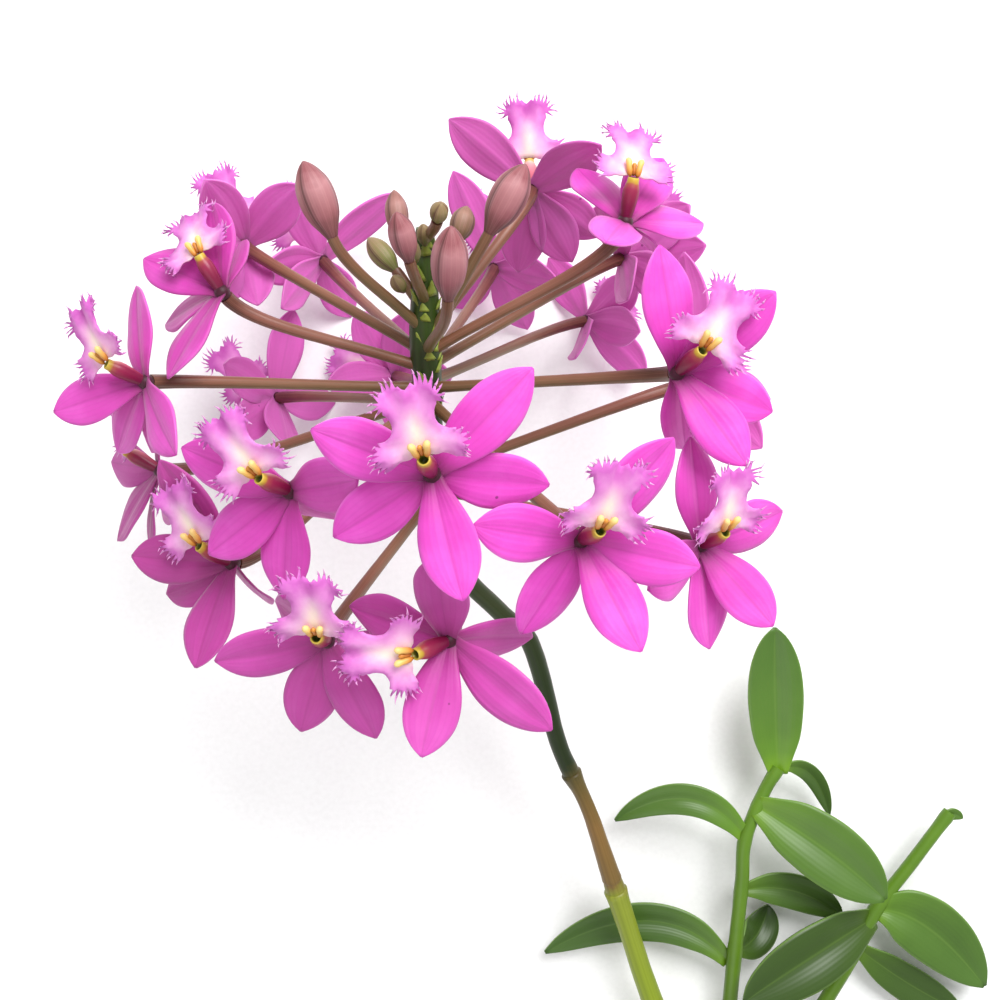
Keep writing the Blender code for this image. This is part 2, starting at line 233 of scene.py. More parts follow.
def between(stations, share):
    """The smooth value at a share of the way, from stations of (share, value)."""
    last = len(stations) - 1
    i = 0
    while i < last - 1 and stations[i + 1][0] < share:
        i += 1
    (x0, y0), (x1, y1) = stations[i], stations[i + 1]
    xb, yb = stations[max(i - 1, 0)]
    xa, ya = stations[min(i + 2, last)]
    width = x1 - x0
    rise0 = (y1 - yb) / (x1 - xb) * width
    rise1 = (ya - y0) / (xa - x0) * width
    t = min(max((share - x0) / width, 0.0), 1.0)
    return (
        y0 * (2 * t ** 3 - 3 * t ** 2 + 1) + rise0 * (t ** 3 - 2 * t ** 2 + t)
        + y1 * (3 * t ** 2 - 2 * t ** 3) + rise1 * (t ** 3 - t ** 2)
    )


def along_points(points, share):
    """The place at a share of the way along a smooth line through the points, by their distances."""
    reach = [0.0]
    for a, b in zip(points, points[1:]):
        reach.append(reach[-1] + (b - a).length)
    return Vector([between([(r / reach[-1], p[k]) for r, p in zip(reach, points)], share) for k in range(3)])


# A tube along each path, with its radius from "thick". Ribs run along it where "ribbed" is above 0.
sweep, given = blank_tree("swept_stalks", (
    ("Paths", "Geometry"), ("Sides", "Int"), ("Ribs", "Float"), ("Rib depth", "Float"),
    ("Unevenness", "Float"), ("Lumps per metre", "Float"), ("Finish", "Material"),
))
lines = add(sweep, "GeometryNodeMeshToCurve", {"Mesh": given["Paths"]})
ring = add(sweep, "GeometryNodeCurvePrimitiveCircle", {"Resolution": given["Sides"], "Radius": 1.0})
turn = add(sweep, "GeometryNodeSplineParameter")
marked = add(sweep, "GeometryNodeStoreNamedAttribute", {"Geometry": ring, "Name": "around", "Value": turn})
thick = add(sweep, "GeometryNodeInputNamedAttribute", {"Name": "thick"})
tubes = add(sweep, "GeometryNodeCurveToMesh", {
    "Curve": lines, "Profile Curve": marked, "Scale": thick, "Fill Caps": True,
})
around = add(sweep, "GeometryNodeInputNamedAttribute", {"Name": "around"})
angle = add(sweep, "ShaderNodeMath", {0: around, 1: 2 * math.pi}, operation="MULTIPLY")
rib_angle = add(sweep, "ShaderNodeMath", {0: angle, 1: given["Ribs"]}, operation="MULTIPLY")
rib = add(sweep, "ShaderNodeMath", {0: rib_angle}, operation="COSINE")
ribbed = add(sweep, "GeometryNodeInputNamedAttribute", {"Name": "ribbed"})
rib_share = add(sweep, "ShaderNodeMath", {0: rib, 1: ribbed}, operation="MULTIPLY")
rib_lift = add(sweep, "ShaderNodeMath", {0: rib_share, 1: given["Rib depth"]}, operation="MULTIPLY")
lumps = add(sweep, "ShaderNodeTexNoise", {"Scale": given["Lumps per metre"], "Detail": 2.0})
lump = add(sweep, "ShaderNodeMath", {0: lumps, 1: 0.5}, operation="SUBTRACT")
lump_lift = add(sweep, "ShaderNodeMath", {0: lump, 1: given["Unevenness"]}, operation="MULTIPLY")
lift = add(sweep, "ShaderNodeMath", {0: rib_lift, 1: lump_lift}, operation="ADD")
sized = add(sweep, "ShaderNodeMath", {0: lift, 1: thick}, operation="MULTIPLY")
outward = add(sweep, "GeometryNodeInputNormal")
shift = add(sweep, "ShaderNodeVectorMath", {0: outward, "Scale": sized}, operation="SCALE")
shaped = add(sweep, "GeometryNodeSetPosition", {"Geometry": tubes, "Offset": shift})
ending(sweep, shaped, given["Finish"])

# Living stem tissue: a smooth waxy green skin, with a satin sheen and fine lengthwise streaks. The colours
# run from the cut end up, so the straw and brown ones are the sheaths'.
STEM_COLOURS = (
    (0.0, "#93a62a"), (0.2, "#8a9c26"), (0.318, "#8e9a32"), (0.336, "#7c6434"), (0.40, "#8a6a38"),
    (0.455, "#6a5a2a"), (0.475, "#22320a"), (0.58, "#26380c"), (0.66, "#33401a"), (0.78, "#25360f"),
    (0.86, "#22380c"), (1.0, "#41591a"),
)
stem_skin, nodes = blank_skin("waxy_stem_skin", {"Roughness": 0.42, "IOR": 1.42})
along, around = [
    add(nodes, "ShaderNodeAttribute", attribute_name=label).outputs["Fac"] for label in ("along", "around")
]
where = add(nodes, "ShaderNodeTexCoord").outputs["Object"]
blotch = add(nodes, "ShaderNodeTexNoise", {"Vector": where, "Scale": 260.0, "Detail": 4.0})
drift = add(nodes, "ShaderNodeMath", {0: blotch, 1: 0.03, 2: along}, operation="MULTIPLY_ADD")
centred = add(nodes, "ShaderNodeMath", {0: drift, 1: 0.015}, operation="SUBTRACT")
skin = coloured(add(nodes, "ShaderNodeValToRGB", {0: centred}), STEM_COLOURS)
streak = add(nodes, "ShaderNodeTexNoise", {"W": around, "Scale": 22.0}, noise_dimensions="1D")
streak_amount = add(nodes, "ShaderNodeMath", {0: streak, 1: 0.55}, operation="MULTIPLY")
streaked = add(nodes, "ShaderNodeMix", {
    0: streak_amount, 6: skin, 7: linear("#52481f"),
}, data_type="RGBA", blend_type="SOFT_LIGHT")
dressed(nodes, streaked.outputs[2], blotch, 0.25, 0.0002)

stem_points = [seen(*place) for place, _ in STEM_PATH]
stem_reach = [0.0]
for a, b in zip(stem_points, stem_points[1:]):
    stem_reach.append(stem_reach[-1] + (b - a).length)
stem_radii = [(reach / stem_reach[-1], radius * MM) for reach, (_, radius) in zip(stem_reach, STEM_PATH)]


def stem_step(share, extra):
    """One step of the stem's path, with its joints standing out."""
    radius = between(stem_radii, share)
    for joint, swell in STEM_JOINTS:
        radius *= 1 + swell * math.exp(-((share - joint) / JOINT_LENGTH) ** 2)
    return {"place": along_points(stem_points, share), "thick": radius + extra, "along": share}


stem_paths = [[stem_step(i / STEM_STEPS, 0.0) for i in range(STEM_STEPS + 1)]]
for low, high in SHEATHS:
    sheath = []
    for i in range(SHEATH_STEPS + 1):
        flare = FLARE * max(0.0, (i - (SHEATH_STEPS - FLARE_STEPS)) / FLARE_STEPS)
        sheath.append(stem_step(low + (high - low) * i / SHEATH_STEPS, SHEATH_OFF + flare))
    sheath[0]["thick"] -= SHEATH_OFF
    sheath.append(stem_step(high + MOUTH_TURN, MOUTH_INSET))
    stem_paths.append(sheath)
stem = grown("cane_and_sheaths", sweep, strands("cane_lines", stem_paths), {
    "Sides": 28, "Unevenness": 0.14, "Lumps per metre": 160.0, "Finish": stem_skin,
})
placed(stem, "flower_stem")


# The petals and sepals of the blooms
# Five fleshy magenta blades a bloom, three sepals and two petals much like them, which meet at a small hub
# on the end of the ovary. Each is channelled along its middle, falls back at its edges and ends in a point.

# Each bloom: the place of its hub, the way it faces, the turn of its lip in degrees, where its stalk leaves
# the rachis, whether it rests on the table, and the tips of its blades (across, down).
BLOOMS = {
    "bloom_01": ((432, 474, 101), (0.0, -0.25, 0.97), 102, 0.0, False,
                 ((533, 368), (549, 485), (463, 601), (334, 537), (311, 429))),
    "bloom_02": ((581, 540, 92), (0.25, -0.3, 0.92), 82, 0.0, False,
                 ((674, 438), (700, 567), (641, 652), (521, 634), (473, 525))),
    "bloom_03": ((700, 545, 75), (0.5, -0.2, 0.84), 100, -0.6, False,
                 ((782, 511), (773, 626), (709, 649), (648, 590), (690, 437))),
    "bloom_04": ((677, 373, 81), (0.22, -0.06, 0.97), 62, 0.08, False,
                 ((776, 292), (772, 412), (747, 466), (685, 448), (659, 245))),
    "bloom_05": ((690, 385, 48), (0.5, 0.1, -0.85), 60, -0.5, False,
                 ((745, 300), (770, 400), (762, 448), (700, 450), (684, 252))),
    "bloom_06": ((625, 222, 71), (0.2, 0.6, 0.75), 84, 0.3, False,
                 ((663, 159), (703, 224), (652, 250), (606, 243), (577, 169))),
    "bloom_07": ((622, 258, 31), (0.5, 0.3, -0.8), 60, 0.22, False,
                 ((690, 205), (706, 245), (672, 290), (628, 300), (600, 205))),
    "bloom_08": ((531, 190, 51), (0.0, 0.5, -0.87), 93, 0.4, False,
                 ((601, 145), (597, 237), (572, 262), (518, 272), (449, 119))),
    "bloom_09": ((494, 262, 20), (0.1, 0.4, -0.8), 95, 0.2, True,
                 ((545, 200), (560, 275), (528, 325), (448, 300), (452, 162))),
    "bloom_10": ((591, 311, 20), (0.6, 0.2, -0.7), 40, 0.12, True,
                 ((646, 265), (648, 322), (654, 369), (580, 350), (551, 245))),
    "bloom_11": ((222, 292, 63), (-0.4, 0.5, 0.6), 118, 0.2, False,
                 ((212, 203), (240, 243), (168, 379), (166, 325), (144, 259))),
    "bloom_12": ((145, 382, 63), (-0.65, -0.1, 0.75), 119, 0.08, False,
                 ((137, 286), (176, 455), (152, 452), (118, 452), (54, 412))),
    "bloom_13": ((160, 470, 44), (-0.9, 0.0, 0.3), 120, 0.0, False,
                 ((160, 395), (172, 520), (150, 548), (118, 541), (112, 462))),
    "bloom_14": ((232, 563, 69), (-0.5, -0.05, 0.85), 114, 0.0, False,
                 ((160, 460), (268, 602), (196, 668), (167, 594), (132, 556))),
    "bloom_15": ((290, 491, 86), (-0.3, -0.2, 0.91), 118, 0.0, False,
                 ((358, 480), (345, 520), (284, 599), (209, 554), (182, 447))),
    "bloom_16": ((327, 640, 84), (-0.1, -0.35, 0.92), 88, -0.68, False,
                 ((385, 650), (376, 738), (301, 731), (215, 661), (276, 601))),
    "bloom_17": ((449, 640, 88), (-0.2, -0.3, 0.93), 178, 0.0, False,
                 ((350, 606), (436, 556), (532, 637), (552, 730), (421, 757))),
    "bloom_18": ((270, 395, 22), (-0.6, 0.0, -0.7), 140, 0.0, True,
                 ((287, 303), (330, 400), (280, 445), (225, 432), (215, 360))),
    "bloom_19": ((315, 250, 24), (-0.4, 0.5, -0.6), 125, 0.26, True,
                 ((394, 180), (345, 310), (272, 300), (250, 262), (285, 175))),
    "bloom_20": ((245, 245, 40), (-0.2, 0.3, -0.9), 115, 0.3, False,
                 ((300, 185), (258, 305), (222, 298), (190, 262), (205, 180))),
    "bloom_21": ((392, 371, 18), (-0.2, 0.1, -0.95), 160, 0.1, True,
                 ((402, 303), (450, 370), (400, 435), (318, 380), (350, 302))),
}
# Sepals and petals are one form, called a tepal.
TEPAL_LENGTH = 17.5 * MM
TEPAL_WIDTH = 8.4 * MM
TEPAL_WALL = 0.36 * MM
TEPAL_ARCH = 1.8 * MM
TEPAL_STATIONS = (
    (0.0, 0.3), (0.1, 0.4), (0.26, 0.7), (0.42, 0.93), (0.56, 1.0), (0.7, 0.94), (0.83, 0.71), (0.92, 0.43),
    (0.97, 0.2), (1.0, 0.03),
)
TEPAL_STEPS = 26
TEPAL_TWIST = 12.0
# A blade's run at a step is taken over this share of its length to each side.
RUN_SHARE = 0.02
LEAST_PART = 0.2
FRONT_COST = 1.8
HUB_RADIUS = 1.35 * MM
HUB_RINGS = ((-1.05, 0.45), (-0.8, 0.72), (-0.4, 0.95), (0.0, 1.0), (0.4, 0.9), (0.75, 0.6), (0.95, 0.2))
HUB_SIDES = 14
GROOVE_POWER = 16
# How pale the petals' backs are, and their fronts at most.
BACK_PALE = 0.62
FRONT_PALE = 0.14
# How strong the painted shade on the blooms in shade is, and how much it differs from blade to blade.
PAINTED_SHADE_SHARE = 0.8
PAINTED_SHADE_SPREAD = (0.75, 1.15)
# Waves, veins and ruffles start anywhere from 0 to this, in radians.
LAST_PHASE = 6.0


def bezier(points, share):
    """A point on the Bezier curve of any number of control points."""
    while len(points) > 1:
        points = [a.lerp(b, share) for a, b in zip(points, points[1:])]
    return points[0]


def square_to(direction, line):
    """The part of direction that stands square on line, at length 1. Where the two nearly agree it is that
    part of straight up."""
    rest = direction - line * direction.dot(line)
    if rest.length < LEAST_PART:
        rest = UP - line * line.z
    return rest.normalized()


def reached(start, across, down, length, facing):
    """The point on the sight line through (across, down) that lies this far from start. Of the two there
    are it is the one nearer to the plane square to facing, and a way in front of that plane counts
    FRONT_COST times. Where the sight line passes too far off, it is the point nearest to start."""
    sight = sight_line(across, down)
    a = sight.dot(sight)
    b = sight.dot(EYE - start)
    c = (EYE - start).length_squared - length ** 2
    spread = b * b - a * c
    if spread <= 0:
        return EYE + sight * (-b / a)
    ends = [EYE + sight * ((-b + sign * math.sqrt(spread)) / a) for sign in (-1, 1)]

    def cost(end):
        ahead = (end - start).dot(facing)
        return ahead * FRONT_COST if ahead > 0 else -ahead

    return min(ends, key=cost)


def spine(control, stations, width, facing, steps, twist, values):
    """The middle line of a blade: a Bezier curve with the blade's half width and upper side at each step."""
    path = []
    for i in range(steps + 1):
        share = i / steps
        before = bezier(control, max(share - RUN_SHARE, 0.0))
        line = (bezier(control, min(share + RUN_SHARE, 1.0)) - before).normalized()
        up = square_to(facing, line)
        up.rotate(Quaternion(line, math.radians(twist) * share))
        half = between(stations, share) * width / 2
        path.append({"place": bezier(control, share), "up": up, "wide": half, "along": share, **values})
    return path


def turned(rings, foot, line, side, values, sides, grooves=0, groove_depth=0.0):
    """A closed body of rings about a straight line: (points, faces, named values of each point). A ring is
    (distance along, radius). The grooves run lengthwise."""
    other = line.cross(side)
    points, faces = [], []
    marks = {label: [] for label in [*values, "along", "around", "groove"]}
    for reach, radius in rings:
        for k in range(sides):
            turn = 2 * math.pi * k / sides
            groove = (0.5 - 0.5 * math.cos(turn * grooves)) ** GROOVE_POWER
            out = side * math.cos(turn) + other * math.sin(turn)
            points.append(foot + line * reach + out * (radius * (1 - groove_depth * groove)))
            marks["along"].append((reach - rings[0][0]) / (rings[-1][0] - rings[0][0]))
            marks["around"].append(k / sides)
            marks["groove"].append(groove)
            for label, value in values.items():
                marks[label].append(value)
    last = len(rings) - 1
    for i in range(last):
        for k in range(sides):
            a, b = i * sides + k, i * sides + (k + 1) % sides
            faces.append((a, b, b + sides, a + sides))
    faces.append(tuple(reversed(range(sides))))
    faces.append(tuple(range(last * sides, (last + 1) * sides)))
    return points, faces, marks


def shown(name, shape, material):
    """An object from (points, faces, named values of each point), shaded smooth."""
    points, faces, marks = shape
    mesh = bpy.data.meshes.new(name)
    mesh.from_pydata(points, [], faces)
    mesh.shade_smooth()
    for label, values in marks.items():
        mesh.attributes.new(label, "FLOAT", "POINT").data.foreach_set("value", values)
    mesh.materials.append(material)
    made = bpy.data.objects.new(name, mesh)
    bpy.context.scene.collection.objects.link(made)
    return made


# A blade along each spine: a channel down its middle, edges that fall back and wave, and soft lengthwise
# folds. "across" runs from -1 to 1 over it.
blades, given = blank_tree("channelled_blades", (
    ("Spines", "Geometry"), ("Points across", "Int"), ("Channel depth", "Float"), ("Channel width", "Float"),
    ("Fall", "Float"), ("Wave", "Float"), ("Waves", "Float"), ("Folds", "Float"), ("Finish", "Material"),
))
lines = add(blades, "GeometryNodeMeshToCurve", {"Mesh": given["Spines"]})
up = add(blades, "GeometryNodeInputNamedAttribute", {"Name": "up"}, data_type="FLOAT_VECTOR")
wide = add(blades, "GeometryNodeInputNamedAttribute", {"Name": "wide"})
tone = add(blades, "GeometryNodeInputNamedAttribute", {"Name": "tone"})
share = add(blades, "GeometryNodeInputNamedAttribute", {"Name": "along"})
faced = add(blades, "GeometryNodeSetCurveNormal", {"Curve": lines, "Normal": up}, mode="FREE")
bar = add(blades, "GeometryNodeCurvePrimitiveLine", {"Start": (0.0, -1.0, 0.0), "End": (0.0, 1.0, 0.0)})
bars = add(blades, "GeometryNodeResampleCurve", {"Curve": bar, "Count": given["Points across"]})
bar_share = add(blades, "GeometryNodeSplineParameter")
side = add(blades, "ShaderNodeMath", {0: bar_share, 1: 2.0, 2: -1.0}, operation="MULTIPLY_ADD")
marked = add(blades, "GeometryNodeStoreNamedAttribute", {"Geometry": bars, "Name": "across", "Value": side})
sheets = add(blades, "GeometryNodeCurveToMesh", {"Curve": faced, "Profile Curve": marked, "Scale": wide})
across = add(blades, "GeometryNodeInputNamedAttribute", {"Name": "across"})
squared = add(blades, "ShaderNodeMath", {0: across, 1: across}, operation="MULTIPLY")
ratio = add(blades, "ShaderNodeMath", {0: across, 1: given["Channel width"]}, operation="DIVIDE")
ratio_squared = add(blades, "ShaderNodeMath", {0: ratio, 1: ratio}, operation="MULTIPLY")
minus = add(blades, "ShaderNodeMath", {0: ratio_squared, 1: -1.0}, operation="MULTIPLY")
dip = add(blades, "ShaderNodeMath", {0: minus}, operation="EXPONENT")
channel = add(blades, "ShaderNodeMath", {0: dip, 1: given["Channel depth"]}, operation="MULTIPLY")
fall = add(blades, "ShaderNodeMath", {0: squared, 1: given["Fall"]}, operation="MULTIPLY")
sunk = add(blades, "ShaderNodeMath", {0: channel, 1: fall}, operation="ADD")
place = add(blades, "ShaderNodeMath", {0: share, 1: given["Waves"], 2: tone}, operation="MULTIPLY_ADD")
place_angle = add(blades, "ShaderNodeMath", {0: place, 1: 2 * math.pi}, operation="MULTIPLY")
skewed = add(blades, "ShaderNodeMath", {0: across, 1: 0.9, 2: place_angle}, operation="MULTIPLY_ADD")
swing = add(blades, "ShaderNodeMath", {0: skewed}, operation="SINE")
edge_swing = add(blades, "ShaderNodeMath", {0: swing, 1: squared}, operation="MULTIPLY")
wave = add(blades, "ShaderNodeMath", {0: edge_swing, 1: given["Wave"]}, operation="MULTIPLY")
fold_angle = add(blades, "ShaderNodeMath", {0: across, 1: 4.4 * math.pi, 2: tone}, operation="MULTIPLY_ADD")
fold_swing = add(blades, "ShaderNodeMath", {0: fold_angle}, operation="COSINE")
fold = add(blades, "ShaderNodeMath", {0: fold_swing, 1: given["Folds"]}, operation="MULTIPLY")
raised = add(blades, "ShaderNodeMath", {0: wave, 1: fold}, operation="ADD")
height = add(blades, "ShaderNodeMath", {0: raised, 1: sunk}, operation="SUBTRACT")
sized = add(blades, "ShaderNodeMath", {0: height, 1: wide}, operation="MULTIPLY")
shift = add(blades, "ShaderNodeVectorMath", {0: up, "Scale": sized}, operation="SCALE")
shaped = add(blades, "GeometryNodeSetPosition", {"Geometry": sheets, "Offset": shift})
ending(blades, shaped, given["Finish"])


def tinted(tree, base, tints):
    """Lays colours over a base, one after another, by (how much, sRGB hex value)."""
    for amount, code in tints:
        over = add(tree, "ShaderNodeMix", {0: amount, 6: base, 7: linear(code)}, data_type="RGBA")
        base = over.outputs[2]
    return base


# Petal tissue: a soft matt magenta skin that glows where light comes through it, with veins along it,
# a paler rim, a deep red-violet foot and here and there a dark speck. The backs are paler, and blooms that
# lie in shade have a painted shade of dull plum.
PETAL_COLOURS = (
    (0.0, "#3e0820"), (0.07, "#841a62"), (0.17, "#b02c90"), (0.34, "#ca3cac"), (0.7, "#d547b8"),
    (1.0, "#cf43b2"),
)
# How much painted shade, a dull plum, lies on each bloom that lies in shade.
BLOOM_PAINTED_SHADE = {
    "bloom_14": 0.85, "bloom_13": 0.7, "bloom_16": 0.6, "bloom_17": 0.5, "bloom_11": 0.4, "bloom_12": 0.25,
    "bloom_15": 0.2, "bloom_08": 0.3, "bloom_03": 0.1,
}
petal_skin, nodes = blank_skin("petal_skin", {
    "Roughness": 0.5, "IOR": 1.38, "Subsurface Weight": 0.25, "Subsurface Radius": (1.0, 0.25, 0.9),
    "Subsurface Scale": 0.0012, "Sheen Weight": 0.12,
})
along, across, tone, pale, painted_shade = [
    add(nodes, "ShaderNodeAttribute", attribute_name=label).outputs["Fac"]
    for label in ("along", "across", "tone", "pale", "painted_shade")
]
where = add(nodes, "ShaderNodeTexCoord").outputs["Object"]
body = coloured(add(nodes, "ShaderNodeValToRGB", {0: along}), PETAL_COLOURS)
cloud = add(nodes, "ShaderNodeTexNoise", {"Vector": where, "Scale": 190.0, "Detail": 3.0})
cloudy = add(nodes, "ShaderNodeMapRange", {0: cloud, 1: 0.42, 2: 0.76, 3: 0.0, 4: 0.5})
clear = add(nodes, "ShaderNodeMath", {0: cloudy, 1: along}, operation="MULTIPLY")
# About five veins a side, fewer and broader than they are so that they show.
ripple = add(nodes, "ShaderNodeMath", {0: cloud, 1: 1.5, 2: tone}, operation="MULTIPLY_ADD")
vein_angle = add(nodes, "ShaderNodeMath", {0: across, 1: 30.0, 2: ripple}, operation="MULTIPLY_ADD")
vein_swing = add(nodes, "ShaderNodeMath", {0: vein_angle}, operation="SINE")
vein = add(nodes, "ShaderNodeMapRange", {0: vein_swing, 1: 0.1, 2: 1.0, 3: 0.0, 4: 0.1})
near_edge = add(nodes, "ShaderNodeMath", {0: across}, operation="ABSOLUTE")
middle = add(nodes, "ShaderNodeMapRange", {0: near_edge, 1: 0.0, 2: 0.1, 3: 0.4, 4: 0.0})
rim = add(nodes, "ShaderNodeMapRange", {0: near_edge, 1: 0.88, 2: 1.0, 3: 0.0, 4: 0.5})
rim_share = add(nodes, "ShaderNodeMath", {0: rim, 1: along}, operation="MULTIPLY")
cells = add(nodes, "ShaderNodeTexVoronoi", {"Vector": where, "Scale": 150.0})
speck = add(nodes, "ShaderNodeMapRange", {0: cells.outputs["Distance"], 1: 0.03, 2: 0.045, 3: 0.7, 4: 0.0})
# The dull plum tint is painted shade on the blooms that lie in shade.
petal_colour = tinted(nodes, body, (
    (clear, "#ee70da"), (vein, "#a82a8c"), (middle, "#a42a88"), (rim_share, "#f08cdc"), (pale, "#c870b2"),
    (painted_shade, "#90336f"), (speck, "#5c1350"),
))
pores = add(nodes, "ShaderNodeTexNoise", {"Vector": where, "Scale": 1500.0, "Detail": 2.0})
relief = add(nodes, "ShaderNodeMath", {0: vein_swing, 1: 0.3, 2: pores}, operation="MULTIPLY_ADD")
dressed(nodes, petal_colour, relief, 0.22, 0.00012)

draw = random.Random(21)
bloom_petals = {}
for name, (place, facing, _, _, _, tips) in BLOOMS.items():
    hub = seen(*place)
    facing = Vector(facing).normalized()
    pale_share = BACK_PALE if facing.z < 0 else draw.uniform(0.0, FRONT_PALE)
    spines = []
    for tip_across, tip_down in tips:
        tip = reached(hub, tip_across, tip_down, TEPAL_LENGTH, facing)
        line = [hub, hub.lerp(tip, 0.5) + facing * TEPAL_ARCH, tip]
        # Blades of blooms that lie in shade get their share of painted shade, a dull plum.
        painted_shade_share = PAINTED_SHADE_SHARE * BLOOM_PAINTED_SHADE.get(name, 0.0) * draw.uniform(*PAINTED_SHADE_SPREAD)
        values = {"tone": draw.uniform(0.0, LAST_PHASE), "pale": pale_share, "painted_shade": painted_shade_share}
        twist = draw.uniform(-TEPAL_TWIST, TEPAL_TWIST)
        spines.append(spine(line, TEPAL_STATIONS, TEPAL_WIDTH, facing, TEPAL_STEPS, twist, values))
    blade_piece = grown(name + "_blades", blades, strands(name + "_spines", spines), {
        "Points across": 13, "Channel depth": 0.12, "Channel width": 0.3, "Fall": 0.1, "Wave": 0.09,
        "Waves": 1.1, "Folds": 0.018, "Finish": petal_skin,
    }, wall=TEPAL_WALL)
    hub_rings = [(reach * HUB_RADIUS, radius * HUB_RADIUS) for reach, radius in HUB_RINGS]
    hub_side = square_to(Vector((1.0, 0.2, 0.1)), facing)
    hub_marks = {"tone": 0.0, "pale": 0.0, "painted_shade": 0.0, "across": 0.5}
    hub_shape = turned(hub_rings, hub, facing, hub_side, hub_marks, HUB_SIDES)
    hub_shape[2]["along"] = [0.0] * len(hub_shape[0])
    hub_piece = shown(name + "_hub", hub_shape, petal_skin)
    bloom_petals[name] = joined("petals_of_" + name, [blade_piece, hub_piece])


# The lips and columns of the blooms
# The lip is the bloom's landing stage: a pale blade of three lobes with torn, hairy edges. It has grown
# together with the column, a dark red tube with a gold rim, and yellow ridges stand where they join.
COLUMN_LENGTH = 6.8 * MM
COLUMN_RISE = 30.0
LIP_LEAN = -16.0
LIP_WALL = 0.26 * MM
# Right half of the lip's edge, as (sideways, along) from the mouth of the column, in stretches. A fringed
# stretch is torn into teeth, each of which ends in a hair.
LIP_STRETCHES = (
    (False, ((0.3, 0.85), (1.1, 0.75), (1.9, 0.45), (3.0, 0.5), (4.1, -0.2), (4.9, -0.6))),
    (True, ((4.9, -0.6), (5.7, 0.5), (6.1, 1.8), (5.9, 3.0), (5.3, 3.8))),
    (False, ((5.3, 3.8), (4.4, 3.8), (3.7, 4.2), (3.1, 4.9), (2.9, 6.0), (3.2, 7.2), (3.8, 8.1))),
    (True, ((3.8, 8.1), (4.4, 8.9), (4.2, 9.9), (3.2, 10.6), (1.9, 10.9), (0.9, 10.9))),
    (False, ((0.9, 10.9), (0.4, 10.5), (0.0, 10.2))),
)
EDGE_STEP = 0.5
# The sheet's inner points stand in staggered rows, this far apart and at least EDGE_CLEAR from its edge.
LIP_STEP = 0.75
EDGE_CLEAR = LIP_STEP * 0.6
FIRST_ROW = -0.6
HALF_ROW = 10
LIP_LENGTH = 11.0
# The side lobes bend to the front from this far aside, and the middle lobe to the back from this far along.
SIDE_BEND = 1.6
MIDDLE_BEND = 5.6
TOOTH_APART = 0.66
TOOTH_IN = 0.55
TOOTH_IN_SHARE = (0.3, 1.3)
TOOTH_OUT = (0.3, 1.0)
TOOTH_SLANT = 0.12
# Each hair starts inside its tooth and leaves it at the tip. Some are longer than the rest.
HAIR_LENGTH = 0.9 * MM
HAIR_ROOT = 0.3
HAIR_AHEAD = 0.7
LONG_HAIR = 1.4
LONG_HAIR_SHARE = 0.3
FRINGE_BLUSH = 0.6
# Each ring of the column: distance along it, radius and its place in the run of colours.
COLUMN_RINGS = (
    (-1.2, 0.5, 0.0), (0.0, 0.8, 0.1), (1.2, 1.0, 0.22), (2.8, 1.25, 0.36), (4.2, 1.38, 0.48),
    (5.2, 1.34, 0.56), (5.9, 1.14, 0.64), (6.4, 0.98, 0.72), (7.0, 0.94, 0.78), (7.15, 0.84, 0.82),
    (7.05, 0.68, 0.86), (6.6, 0.58, 0.92), (6.0, 0.3, 1.0),
)
COLUMN_SIDES = 18
# Each ridge at the mouth: distance aside and along, radius, length and how far it starts up its colours.
CALLI = ((0.66, 0.7, 0.58, 2.8, 0.15), (-0.66, 0.7, 0.58, 2.8, 0.15), (0.0, 0.9, 0.4, 1.9, 0.0))
CALLUS_RINGS = ((-0.1, 0.3), (0.05, 0.75), (0.3, 0.9), (0.55, 0.82), (0.78, 1.0), (0.93, 0.7), (1.0, 0.15))
CALLUS_SIDES = 12
# A ridge's foot is lifted this many millimetres off the sheet. It runs forth, rises and leans outwards by
# these shares.
CALLUS_LIFT = 0.25
RIDGE_FORTH = 0.9
RIDGE_RISE = 0.38
RIDGE_SPLAY = 0.25


def smooth_stretch(points, step):
    """Points about a step apart on a smooth line through the given ones, without the last."""
    corners = [Vector((x, y, 0.0)) for x, y in points]
    reach = sum((b - a).length for a, b in zip(corners, corners[1:]))
    count = max(2, round(reach / step))
    return [along_points(corners, i / count) for i in range(count)]


def lip_height(x, y, phase):
    """How far the lip's sheet stands out to the front at a place, in millimetres: bent at its lobes, sunk
    along its middle, and ruffled and crimped more and more outwards."""
    beside = max(0.0, abs(x) - SIDE_BEND)
    beyond = max(0.0, y - MIDDLE_BEND)
    bent = 0.035 * beside ** 2 - 0.03 * beyond ** 2
    gutter = -0.35 * math.exp(-(x / 0.8) ** 2) * math.exp(-((y - 6) / 4) ** 2)
    ruffle = 0.1 * beside * math.sin(1.7 * y + 0.6 * x + phase) + 0.1 * beyond * math.sin(1.6 * x + phase)
    crimp = 0.05 * beside * math.sin(4.6 * y - 1.5 * x + 2 * phase)
    crimp += 0.05 * beyond * math.sin(4.4 * x - phase)
    return bent + gutter + ruffle + crimp


def lip_colours(x, y, to_edge):
    """How cream, blushed and blotched the lip is at a place: cream round its mouth and down its middle,
    more blushed outwards and at its edge, with one blotch near its end."""
    strip = math.exp(-(x / 1.25) ** 2) * min(max((8.0 - y) / 3.4, 0.0), 1.0)
    return {
        "cream": 0.8 * max(strip, math.exp(-(math.hypot(x * 0.8, y - 0.8) / 2.0) ** 2)),
        "blush": 0.26 + 0.065 * math.hypot(x, y - 2.0) + 0.3 * math.exp(-(to_edge / 0.9) ** 2),
        "blotch": 0.7 * math.exp(-(math.hypot(x, y - 9.2) / 1.2) ** 2),
    }


